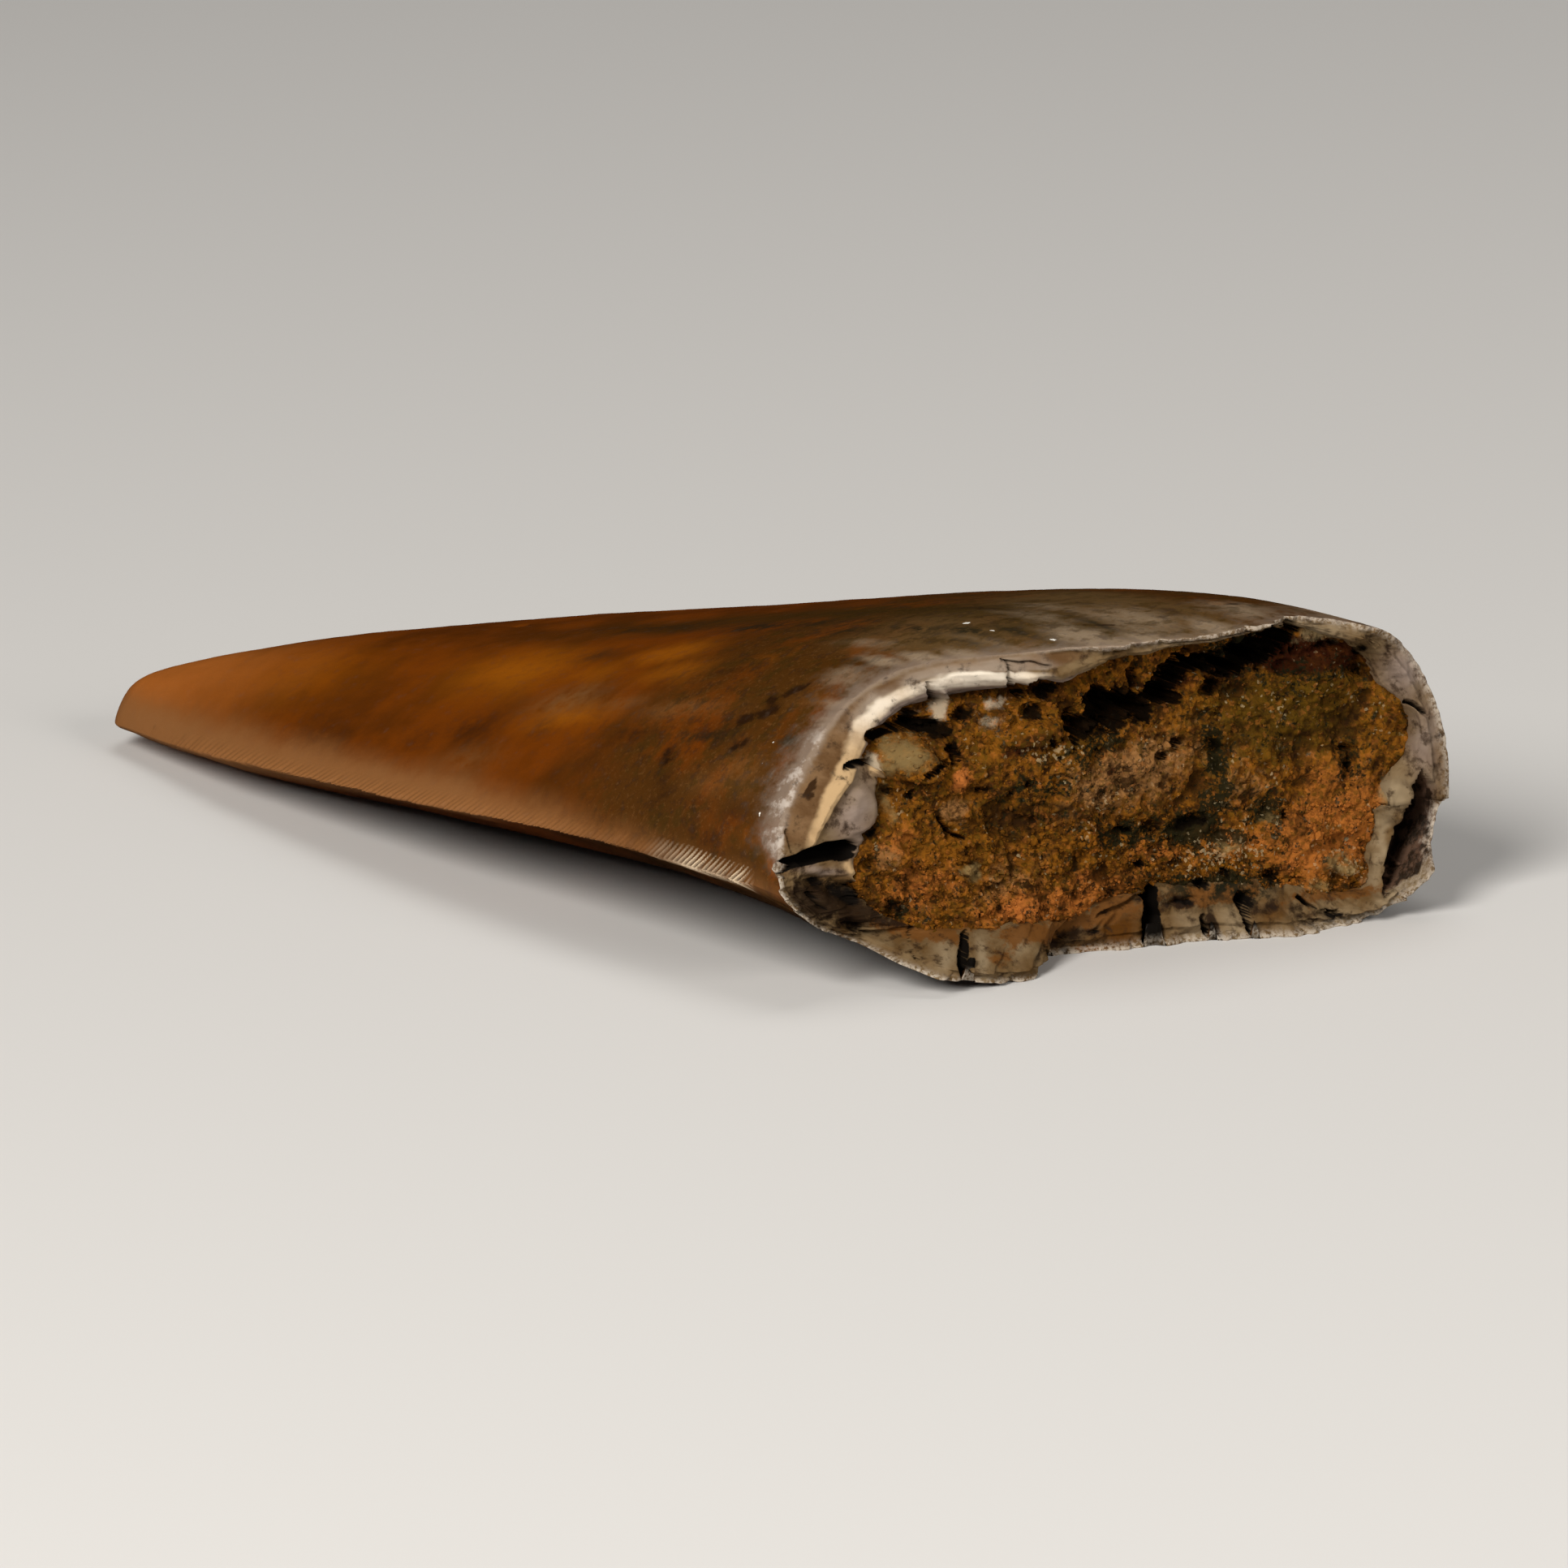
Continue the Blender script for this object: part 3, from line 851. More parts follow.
def skinMarks(points):
    # oval spots that lie along the tooth, exp(-(along / long)^2 - (aside / wide)^2), dark lines, both with
    # borders bent by noise, and how far the edges lie
    bend = 0.16 * layeredNoise(points, 0.7, 91, 4, 0.65)
    marks, step = {}, 0.02
    for name, spots in skinSpots.items():
        total = np.zeros(points.shape[:-1])
        for spotHeight, spotTurn, long, wide, strength in spots:
            centre = skinPlace(spotHeight, spotTurn)
            along = skinPlace(spotHeight + step, spotTurn) - centre
            along = along / np.linalg.norm(along)
            offset = points - centre
            run = offset @ along
            aside = np.linalg.norm(offset - run[..., None] * along, axis=-1) + bend * min(1.0, wide * 2.5)
            total = np.maximum(total, strength * np.exp(-(run / long)**2 - (aside / wide)**2))
        marks[name] = np.clip(total, 0, 1)
    total = np.zeros(points.shape[:-1])
    for start, end, halfWidth in skinLines:
        start, end = skinPlace(*start), skinPlace(*end)
        run = end - start
        part = np.clip((points - start) @ run / (run @ run), 0, 1)
        away = np.linalg.norm(points - start - part[..., None] * run, axis=-1) + 0.35 * bend
        total = np.maximum(total, np.exp(-(np.maximum(away, 0) / halfWidth)**2))
    marks["darkDash"] = total
    # how far each point is from the edges and from the top of the lip side, at the same place along X
    line = np.linspace(-0.05, 1, 420)
    for name, edgeTurn in (("backAway", 0.0), ("frontAway", math.pi), ("topAway", math.pi / 2)):
        edge = crownPoints(line, edgeTurn)
        nearest = [np.interp(-points[..., 0], -edge[:, 0], edge[:, axis]) for axis in range(3)]
        marks[name] = np.linalg.norm(points - np.stack(nearest, axis=-1), axis=-1)
    return marks


bladeForm = {
    "columns": 300,
    "bladeRows": 294,
    "tipRows": 26,
    # the two hidden rings that close the seam end: the height of the first, and how far in both lie
    "hiddenHeight": 0.15,
    "hiddenIn": (1.2, 0.5),
}


def makeCrownBlade():
    # the crown's skin from the seam to the rounded tip, closed at the seam by two rings and a hub inside it
    form, seam = bladeForm, rimForm
    columns = form["columns"]
    turn = np.linspace(0, 2 * math.pi, columns, endpoint=False)
    tipFrom, start = crownForm["capFrom"], seam["seamFrom"] - seam["seamPast"]
    blade = np.linspace(start, tipFrom, form["bladeRows"], endpoint=False)
    tip = tipFrom + (1 - tipFrom) * np.sin(np.linspace(0, math.pi / 2, form["tipRows"], endpoint=False))
    height = np.concatenate([blade, tip])[:, None]
    skin = skinPoints(height, turn, seam["seamSink"] * (1 - ease(height, seam["seamFrom"], seam["seamTo"])))
    hiddenHeight = np.array((form["hiddenHeight"], start))[:, None]
    hidden = layerPoints(hiddenHeight, turn, np.array(form["hiddenIn"])[:, None])
    rings = np.concatenate([hidden, skin])
    first, last = rings[0].mean(axis=0), skinPoints(np.array([0.9999]), np.array([0.0]))[0]
    points = np.concatenate([rings.reshape(-1, 3), [first], [last]])
    ring, count = np.arange(columns), len(rings) * columns
    faces = [gridFaces(len(rings), columns), fanFaces(ring, count, False),
             fanFaces(ring + count - columns, count + 1)]
    return makePiece("crownBlade", points, faces, skinMarks(points))


# Serrations: a keel with one chisel-shaped denticle after another, coarse and worn towards the tip
serrations = {
    # each row: its edge's turn, heights where it starts and ends, rings to a denticle, points across, size
    "rows": {
        "backSerrations": (0.0, 0.030, 0.90, 9, 25, 1.0),
        "frontSerrations": (math.pi, 0.45, 0.90, 6, 17, 0.7),
    },
    "edgeLength": 29.0,  # along an edge, from the broken end to the tip
    "keelHalf": 0.50,  # half the width of the strip
    "keelWidth": 0.20,
    "flankWidth": 0.32,  # how far the grooves run down each flank
    "stands": 0.11,  # how far the denticles stand out, times a number of its own for each
    "share": 0.8,  # the middle of these numbers, and how far they differ from it
    "shareSpread": 0.3,
    "notch": 0.13,  # how deep the notches between them are
    "groove": 0.05,  # how deep the notches go on down the flanks
    "notchWidth": 0.23,  # as a part of the pitch
    "slant": 0.85,  # how far the grooves lean along the edge for each millimetre across it
    # from one denticle to the next, towards the tip and at the root end, and how far up the first fades in
    "tipPitch": 0.24,
    "basePitch": 0.14,
    "pitchFade": 0.30,
    # the heights between which wear sets in, and how much of the notches it leaves
    "wornFrom": 0.09,
    "wornTo": 0.17,
    "wornShare": 0.22,
    # the parts of the height over which a row starts and ends
    "fadeIn": 0.02,
    "fadeOut": 0.12,
    "borderSink": 0.035,  # how far the strip's borders lie under the skin
    "hiddenIn": 0.35,
}


def denticlePitch(height):
    # millimetres from one denticle to the next: tip pitch less a part that fades with exp(-height / fade)
    form = serrations
    fade = np.exp(-np.maximum(height, 0) / form["pitchFade"])
    return form["tipPitch"] - (form["tipPitch"] - form["basePitch"]) * fade


def denticleCount(height):
    # how many denticles lie below a height: the sum of 1 / pitch along the edge
    fine = np.linspace(0, 1, 2001)
    step = serrations["edgeLength"] / (len(fine) - 1) / denticlePitch(fine)
    return np.interp(height, fine, np.cumsum(step) - step[0])


def turnAtDistance(height, edgeTurn, way, wanted):
    # the turns that lie the wanted millimetres from an edge, measured along the section on one side of it
    reach = np.radians(np.linspace(0, 45, 60))
    path = crownPoints(height, edgeTurn + way * reach)
    length = np.pad(np.cumsum(np.linalg.norm(np.diff(path, axis=1), axis=-1), axis=1), ((0, 0), (1, 0)))
    below = np.clip((length[:, None, :] <= wanted[None, :, None]).sum(axis=-1) - 1, 0, len(reach) - 2)
    low, high = np.take_along_axis(length, below, axis=1), np.take_along_axis(length, below + 1, axis=1)
    part = np.clip((wanted - low) / (high - low), 0, 1)
    return edgeTurn + way * (reach[below] + part * (reach[below + 1] - reach[below]))


def makeSerrations(name, edgeTurn, startHeight, endHeight, rowsEach, columns, size):
    # a strip over the edge that stands out in the chord's direction: a keel, exp(-(away / width)^2), less a
    # notch after each denticle, exp(-(distance from the gap's middle / width)^2.4)
    form = serrations
    fine = np.linspace(startHeight, endHeight, 4001)
    counted = denticleCount(fine)
    rows = int((counted[-1] - counted[0]) * rowsEach)
    height = np.interp(np.linspace(counted[0], counted[-1], rows), counted, fine)[:, None]
    side = np.linspace(-1, 1, columns)
    away = np.abs(side)**1.5 * form["keelHalf"] * size
    turns = (turnAtDistance(height, edgeTurn, way, away) for way in (1, -1))
    turn = np.where(side >= 0, *turns)
    phase = denticleCount(height) + form["slant"] * away / denticlePitch(height)
    gap = np.exp(-(np.abs(phase % 1.0 - 0.5) / form["notchWidth"])**2.4)
    number = np.stack([np.floor(phase).astype(np.int64)] * 3, axis=-1)
    tall = form["share"] + form["shareSpread"] * hashedValue(number, 61)
    worn = 1 - (1 - form["wornShare"]) * ease(height, form["wornFrom"], form["wornTo"])
    fade = 1 - ease(height, endHeight - form["fadeOut"], endHeight)
    fade = fade * ease(height, startHeight, startHeight + form["fadeIn"])
    keel = np.exp(-(away / (form["keelWidth"] * size))**2)
    flank = np.exp(-(away / (form["flankWidth"] * size))**4)
    stand = size * fade * keel * (form["stands"] * tall - form["notch"] * gap * worn)
    back, front = crownPoints(height, 0.0), crownPoints(height, math.pi)
    chord = (back - front) if edgeTurn < 1 else (front - back)
    chord = chord / np.linalg.norm(chord, axis=-1, keepdims=True)
    sunk = size * fade * form["groove"] * worn * gap * flank
    sunk = sunk + form["borderSink"] * ease(np.abs(side), 0.8, 1.0)
    strip = skinPoints(height, turn) + chord * stand[..., None]
    strip = strip - skinNormals(height, turn) * sunk[..., None]
    strip[..., 2] = np.maximum(strip[..., 2], 0.02)  # clear of the floor
    # a hidden row inside closes the strip underneath
    inside = layerPoints(height[:, 0], np.full(rows, edgeTurn), np.full(rows, form["hiddenIn"]))
    grid = np.concatenate([strip, inside[:, None, :]], axis=1)
    wide = columns + 1
    points = np.concatenate([grid.reshape(-1, 3), [grid[0].mean(axis=0)], [grid[-1].mean(axis=0)]])
    ring, count = np.arange(wide), rows * wide
    faces = [gridFaces(rows, wide), fanFaces(ring, count, False), fanFaces(ring + count - wide, count + 1)]
    # the ridges and furrows that the colours follow: strong on tall denticles, weak on worn ones
    shown = flank * fade * (worn - form["wornShare"]) / (1 - form["wornShare"])
    shown = shown * np.clip(2.6 * tall - 1.6, 0.25, 1)
    marks = skinMarks(points)
    for mark, values in (("ridge", shown * (1 - gap)), ("furrow", shown * gap)):
        marks[mark] = np.append(np.pad(values, ((0, 0), (0, 1))).ravel(), (0.0, 0.0))
    return makePiece(name, points, faces, marks)


# The sand in the broken end
sandForm = {
    "rows": 186,
    "columns": 510,
    "back": 0.45,  # how far back the middle of the face lies
    "borderBack": 0.10,  # how far behind the wall's border its own border lies
    "middleLift": 0.75,  # how far its middle lies above the line between the two edges
    "lumpHeight": 0.17,
    "lumpSize": 1.3,
    "crumbHeight": 0.12,
    "crumbSize": 0.40,
    "grainHeight": 0.045,
    "grainSize": 0.15,
    "fineHeight": 0.026,
    "fineSize": 0.09,
    "holeDepth": 0.14,
    "holeSize": 0.42,
    "behind": (2.6, 3.4),  # how far back the two hidden rings lie
    # loose stones: how many, the smallest and the largest radius, seed
    "loose": {
        "sandGrains": (4200, (0.022, 0.060), 101),
        "sandCrumbs": (130, (0.06, 0.13), 131),
    },
    "pushed": 0.28,  # how far their corners are pushed in and out
    "drawnOut": (0.3, -0.3, 0.2),  # how far they are drawn out along their axes
}


def sandPlace(height, turn, out):
    # a place between the middle of the section and the inner border of the wall
    border = layerPoints(height, turn, station("wall", turn) - 0.05)
    middle = (crownPoints(height, 0.0) + crownPoints(height, math.pi)) / 2
    middle = middle + np.array((0.0, 0.0, sandForm["middleLift"]))
    return middle + (border - middle) * out[..., None]


def sandSurface(turn, out):
    # the sand's face: level with the wall at its border, with hollows, lumps, crumbs, grains and holes
    form, tall = sandForm, crownForm["crownHeight"]
    base = form["back"] + (station("wallBack", turn) + form["borderBack"] - form["back"]) * out**6
    flat = sandPlace(base / tall, turn, out)
    across, level = faceMap(flat)
    crumbs, grains = grainCells(flat, form["crumbSize"], 74), grainCells(flat, form["grainSize"], 75)
    raised = form["lumpHeight"] * layeredNoise(flat, form["lumpSize"], 71, 3, 0.6)
    raised = raised + form["crumbHeight"] * (crumbs[2] - 0.5) * ease(crumbs[1], 0.0, 0.22)
    raised = raised + form["grainHeight"] * (grains[2] - 0.6) * ease(grains[1], 0.0, 0.30)
    raised = raised + form["fineHeight"] * layeredNoise(flat, form["fineSize"], 77, 2, 0.7)
    raised = raised - form["holeDepth"] * ease(softNoise(flat, form["holeSize"], 78), 0.35, 0.7)
    base = base - raised - proudHeight(across, level)
    across, level = faceMap(sandPlace(base / tall, turn, out))
    points = sandPlace((base + hollows(across, level)[0] + crackDepth(across, level)) / tall, turn, out)
    across, level = faceMap(points)
    marks = {
        "tone": grains[2], "gap": ease(np.minimum(grains[1], crumbs[1]), 0.14, 0.0),
        "soot": hollows(across, level)[1], "crack": crackDepth(across, level),
        "peak": raised / form["lumpHeight"], **faceMarks(across, level),
    }
    return points, marks


def makeSandFill():
    # a square grid drawn out to the round section, with turn and share out by square rings, then two rings
    # down the cavity and a hub
    rows, columns = sandForm["rows"], sandForm["columns"]
    right, up = np.meshgrid(np.linspace(-1, 1, columns), np.linspace(-1, 1, rows))
    out = np.maximum(np.abs(right), np.abs(up))
    safe = np.maximum(out, 1e-9)
    sideways, upwards = up / safe * math.pi / 4, math.pi / 2 - right / safe * math.pi / 4
    sideways = np.where(right > 0, sideways, math.pi - sideways)
    upwards = np.where(up > 0, upwards, -upwards)
    angle = np.where(np.abs(right) >= np.abs(up), sideways, upwards)
    turn = (math.pi - angle) % (2 * math.pi)
    face, marks = sandSurface(turn, out)
    number = np.arange(rows * columns).reshape(rows, columns)
    ring = np.concatenate([number[0], number[1:, -1], number[-1, -2::-1], number[-2:0:-1, 0]])
    tall = crownForm["crownHeight"]
    rim = turn.ravel()[ring]
    ones = np.ones(len(ring))
    deeper = [sandPlace(ones * back / tall, rim, ones) for back in sandForm["behind"]]
    points = np.concatenate([face.reshape(-1, 3), *deeper, [deeper[1].mean(axis=0)]])
    second = rows * columns + np.arange(len(ring))
    third = second + len(ring)
    faces = [gridFaces(rows, columns, wrapColumns=False), bandFaces(ring, second), bandFaces(second, third),
             fanFaces(third, len(points) - 1, False)]
    added = len(points) - rows * columns
    marks = {name: np.append(values.ravel(), np.zeros(added)) for name, values in marks.items()}
    return makePiece("sandFill", points, faces, marks)


def icosahedron():
    # 12 corners one from the centre, made of the golden ratio, and the 20 triangles of neighbouring corners
    golden, edgeLength = (1 + math.sqrt(5)) / 2, 2.0
    signs = [(first, second) for second in (1, -1) for first in (1, -1)]
    corners = np.array([(0, first, second * golden) for first, second in signs]
                       + [(first, second * golden, 0) for first, second in signs]
                       + [(first * golden, 0, second) for first, second in signs])
    near = np.linalg.norm(corners[:, None] - corners, axis=-1) < edgeLength * 1.1
    sides = [side for side in itertools.combinations(range(12), 3) if near[np.ix_(side, side)].all()]
    sides = [side if np.linalg.det(corners[list(side)]) > 0 else side[::-1] for side in sides]
    return corners / np.linalg.norm(corners[0]), np.array(sides)


def turned(shape, about, tilt):
    # each shape's points turned about Z, then tilted about X
    x, y, z = np.moveaxis(shape, -1, 0)
    cosine, sine = np.cos(about)[:, None], np.sin(about)[:, None]
    x, y = x * cosine - y * sine, x * sine + y * cosine
    cosine, sine = np.cos(tilt)[:, None], np.sin(tilt)[:, None]
    y, z = y * cosine - z * sine, y * sine + z * cosine
    return np.stack([x, y, z], axis=-1)


def makeLooseGrains(name, count, radii, seed):
    # small angular stones sunk by half in the sand: an icosahedron, its corners pushed in and out, drawn
    # out along its axes and turned
    number = np.stack([np.arange(count)] * 3, axis=-1)
    right, up, turnA, turnB, turnC, big = (hashedValue(number, seed + i) for i in range(6))
    out = np.sqrt(np.abs(up)) * 1.03
    turn = math.pi * (1 + right)
    seat, marks = sandSurface(turn, out)
    radius = radii[0] * (radii[1] / radii[0])**((big * 0.5 + 0.5)**1.7)
    corners, sides = icosahedron()
    push = hashedValue(number[:, None, :] * 13 + np.arange(len(corners))[:, None], seed + 9)
    stretch = 1 + np.stack([turnA, turnB, turnC], axis=-1) * sandForm["drawnOut"]
    shape = corners * (1 + sandForm["pushed"] * push[..., None]) * stretch[:, None]
    points = seat[:, None, :] + turned(shape, math.pi * turnA, math.pi * turnB) * radius[:, None, None]
    points[..., 2] = np.maximum(points[..., 2], 0.0)
    faces = sides + len(corners) * np.arange(count)[:, None, None]
    marks["tone"] = turnC * 0.5 + 0.5
    marks["gap"] = np.zeros(count)
    marks["peak"] = marks["peak"] + 0.3
    marks = {mark: np.repeat(values, len(corners)) for mark, values in marks.items()}
    return makePiece(name, points, [faces.reshape(-1, 3)], marks, smooth=False)


# Materials

def setInputs(tree, node, inputs):
    # link the values that are sockets, and set the constants
    for key, value in inputs.items():
        if isinstance(value, bpy.types.NodeSocket):
            tree.links.new(value, node.inputs[key])
        else:
            node.inputs[key].default_value = value


def addNode(tree, kind, inputs=None, **settings):
    # a node with its settings and inputs
    node = tree.nodes.new(kind)
    for key, value in settings.items():
        setattr(node, key, value)
    setInputs(tree, node, inputs or {})
    return node


def newMaterial(name):
    # an empty material, and the surface that its colours go to
    material = bpy.data.materials.new(name)
    material.use_nodes = True
    material.node_tree.nodes.clear()
    surface = addNode(material.node_tree, "ShaderNodeBsdfPrincipled")
    addNode(material.node_tree, "ShaderNodeOutputMaterial", {"Surface": surface.outputs["BSDF"]})
    return material, surface


def srgb(red, green, blue):
    # a colour as seen on screen, 0 to 255, as a linear colour
    linear = [((c / 255 + 0.055) / 1.055)**2.4 if c > 10 else c / 255 / 12.92 for c in (red, green, blue)]
    return (*linear, 1.0)


class Shade:
    # short forms of the nodes that the materials share
    def __init__(self, tree):
        self.tree = tree
        self.object = addNode(tree, "ShaderNodeTexCoord").outputs["Object"]

    def mark(self, name):
        # a number that the mesh carries at each point
        return addNode(self.tree, "ShaderNodeAttribute", attribute_name=name).outputs["Fac"]

    def stretched(self, scale):
        # the object's own coordinates, scaled along each axis
        inputs = {"Vector": self.object, "Scale": scale}
        return addNode(self.tree, "ShaderNodeMapping", inputs).outputs["Vector"]

    def noise(self, size, detail=4.0, rough=0.55, vector=None):
        # from about 0 to 1, its patches about the given millimetres wide
        inputs = {"Vector": vector or self.object, "Scale": 1 / (size * toMetres), "Detail": detail}
        return addNode(self.tree, "ShaderNodeTexNoise", {**inputs, "Roughness": rough}).outputs["Fac"]

    def cells(self, size):
        # three random numbers for each small cell
        inputs = {"Vector": self.object, "Scale": 1 / (size * toMetres)}
        colour = addNode(self.tree, "ShaderNodeTexVoronoi", inputs).outputs["Color"]
        return addNode(self.tree, "ShaderNodeSeparateColor", {"Color": colour}).outputs

    def between(self, value, low, high):
        # eased from 0 at low to 1 at high
        inputs = {"Value": value, "From Min": low, "From Max": high}
        node = addNode(self.tree, "ShaderNodeMapRange", inputs, interpolation_type="SMOOTHSTEP")
        return node.outputs["Result"]

    def math(self, kind, first, second=0.0):
        return addNode(self.tree, "ShaderNodeMath", {0: first, 1: second}, operation=kind).outputs["Value"]

    def times(self, first, second):
        return self.math("MULTIPLY", first, second)

    def wavered(self, value, *noises):
        # a value, or a mark by its name, plus (noise - 0.5) * amount for each noise
        value = self.mark(value) if isinstance(value, str) else value
        for noise, amount in noises:
            value = self.math("ADD", self.times(self.math("SUBTRACT", noise, 0.5), amount), value)
        return value

    def ragged(self, value, low, high, *noises):
        # a mask with a border that the noises break up
        return self.between(self.wavered(value, *noises), low, high)

    def mix(self, amount, first, second):
        # from the first colour at 0 to the second at 1
        inputs = {0: amount, 6: first, 7: second}  # the colour sockets of the node
        return addNode(self.tree, "ShaderNodeMix", inputs, data_type="RGBA").outputs[2]

    def painted(self, colour, coats):
        # coats laid over a colour, one after another: the paint, its strength, and the mask that says where
        for paint, strength, mask in coats:
            colour = self.mix(self.times(mask, strength), colour, paint)
        return colour

    def finish(self, surface, look, colour, roughness, height):
        # the colour, the gloss and a fine relief, whose strength and depth in metres the look gives
        strength, distance = look["relief"]
        inputs = {"Strength": strength, "Distance": distance, "Height": height}
        normal = addNode(self.tree, "ShaderNodeBump", inputs).outputs["Normal"]
        setInputs(self.tree, surface, {"Base Color": colour, "Roughness": roughness,
                                       "Specular IOR Level": look["shine"], "Normal": normal})


skinLook = {
    "tip": srgb(158, 90, 34),
    "amber": srgb(106, 50, 2),
    "brown": srgb(84, 40, 2),
    "dark": srgb(34, 17, 5),
    "orange": srgb(152, 84, 6),
    "tan": srgb(124, 84, 44),
    "carina": srgb(126, 82, 44),
    "keel": srgb(140, 94, 53),
    "ridge": srgb(222, 200, 168),
    "furrow": srgb(52, 31, 12),
    "base": srgb(72, 42, 9),
    "olive": srgb(56, 40, 9),
    "lip": srgb(92, 70, 40),
    "moss": srgb(34, 30, 17),
    "grey": srgb(142, 122, 98),
    "rubbed": srgb(132, 114, 98),
    "salt": srgb(186, 174, 162),
    "white": srgb(236, 232, 222),
    "roughness": 0.44,
    "shine": 0.20,
    "relief": (0.3, 0.00003),
}

wallLook = {
    "dentine": srgb(90, 66, 36),
    "beige": srgb(112, 92, 64),
    "lavender": srgb(136, 120, 109),
    "plate": srgb(136, 118, 91),
    "amber": srgb(76, 44, 6),
    "dust": srgb(98, 60, 22),
    "grime": srgb(48, 29, 10),
    "umber": srgb(28, 15, 5),
    "slotWall": srgb(84, 60, 46),
    "bevel": srgb(112, 85, 57),
    "bevelBrown": srgb(88, 62, 36),
    "paleBevel": srgb(140, 125, 109),
    "rind": srgb(184, 172, 156),
    "cream": srgb(178, 148, 108),
    "chalk": srgb(216, 204, 186),
    "soot": srgb(9, 5, 2),
    "roughness": 0.80,
    "shine": 0.08,
    "relief": (0.3, 0.00003),
}

sandLook = {
    "ochre": srgb(118, 72, 16),
    "brown": srgb(76, 45, 10),
    "orange": srgb(156, 92, 38),
    "olive": srgb(74, 54, 10),
    "pink": srgb(138, 98, 58),
    "rust": srgb(40, 12, 4),
    "ember": srgb(172, 100, 46),
    "grey": srgb(122, 100, 62),
    "plate": srgb(136, 116, 82),
    "web": srgb(172, 156, 132),
    "moss": srgb(24, 23, 10),
    "pale": srgb(190, 168, 128),
    "umber": srgb(34, 19, 6),
    "soot": srgb(11, 6, 2),
    "roughness": 0.85,
    "shine": 0.03,
    "relief": (0.5, 0.00004),
}


def rubbedCoats(shade, fine, grain):
    # the skin beside the chip is rubbed grey, with salt-white scratches in it near the back edge
    patch = shade.ragged(shade.noise(0.38, 3.0, 0.6), 0.48, 0.66, (grain, 0.3))
    return ((skinLook["rubbed"], 0.80, shade.ragged("rubbed", 0.05, 0.80, (fine, 0.9))),
            (skinLook["salt"], 0.80, shade.times(shade.ragged("salted", 0.25, 0.85, (fine, 0.9)), patch)))


def sootCoats(shade, fine, soot):
    # black in the hollows and cracks, with ragged borders
    return ((soot, 0.97, shade.ragged("soot", 0.22, 0.78, (fine, 1.4))),
            (soot, 1.00, shade.ragged("crack", 0.05, 0.35, (fine, 0.3))))


def skinColour(shade, fine, streaks, grain):
    # amber with brown mottles, tan at the tip and along the edges, browner and greyer to the broken end
    look = skinLook
    x = addNode(shade.tree, "ShaderNodeSeparateXYZ", {"Vector": shade.object}).outputs["X"]
    x = shade.wavered(x, (shade.noise(3.0, 3.0), 0.005))
    mottle = shade.noise(1.9, 4.0, 0.55)
    blotch = shade.noise(0.55, 4.0, 0.65)
    baseZone = shade.between(x, 0.0010, 0.0070)
    lipSide = shade.times(shade.ragged("topAway", 3.6, 2.4), shade.between(x, 0.0060, 0.0105))
    top = shade.times(shade.ragged("topAway", 1.5, 0.2, (mottle, 1.2)), shade.between(x, -0.0075, 0.0025))
    grey = shade.ragged("greyPatch", 0.05, 1.05, (streaks, 0.9), (fine, 0.8))
    band = shade.wavered("backAway", (mottle, 0.7), (fine, 0.3))
    band = shade.math("ADD", band, shade.times(shade.between(x, -0.0040, 0.0100), 0.75))
    dash = shade.times(shade.mark("darkDash"), shade.between(fine, 0.22, 0.55))
    colour = shade.mix(shade.between(mottle, 0.34, 0.62), look["brown"], look["amber"])
    return shade.painted(colour, (
        (look["orange"], 0.80, shade.mark("orangeGlow")),
        (look["brown"], 0.25, shade.between(fine, 0.48, 0.66)),
        (look["base"], 1.00, shade.times(baseZone, shade.between(mottle, 0.76, 0.46))),
        (look["tan"], 0.60, shade.times(shade.mark("tanPatch"), shade.between(fine, 0.2, 0.6))),
        (look["lip"], 0.85, lipSide),
        (look["olive"], 0.75, top),
        (look["tip"], 1.00, shade.between(x, -0.0085, -0.0168)),
        (look["grey"], 1.00, shade.times(grey, shade.ragged("greyPatch", 0.0, 0.3))),
        # dark and tan mottles over the half towards the broken end
        (look["olive"], 0.50, shade.times(shade.between(blotch, 0.50, 0.62), baseZone)),
        (look["dark"], 0.42, shade.times(shade.between(fine, 0.50, 0.64), baseZone)),
        (look["tan"], 0.25, shade.times(shade.between(grain, 0.44, 0.34), baseZone)),
        (look["moss"], 0.90, shade.times(shade.mark("mossStreak"), shade.between(fine, 0.34, 0.54))),
        (look["dark"], 0.65, shade.times(shade.mark("darkStain"), shade.between(fine, 0.15, 0.65))),
        # pale bands along the two edges, and the serrations
        (look["carina"], 0.95, shade.between(band, 1.30, 0.25)),
        (look["keel"], 0.45, shade.between(band, 0.90, 0.25)),
        (look["carina"], 0.70, shade.ragged("frontAway", 0.9, 0.3, (mottle, 0.5))),
        (look["ridge"], 0.90, shade.mark("ridge")),
        (look["furrow"], 0.80, shade.mark("furrow")),
        (look["dark"], 0.85, shade.between(dash, 0.10, 0.85)),
        *rubbedCoats(shade, fine, grain),
        (look["white"], 1.00, shade.ragged("whiteFleck", 0.4, 0.6)),
    ))


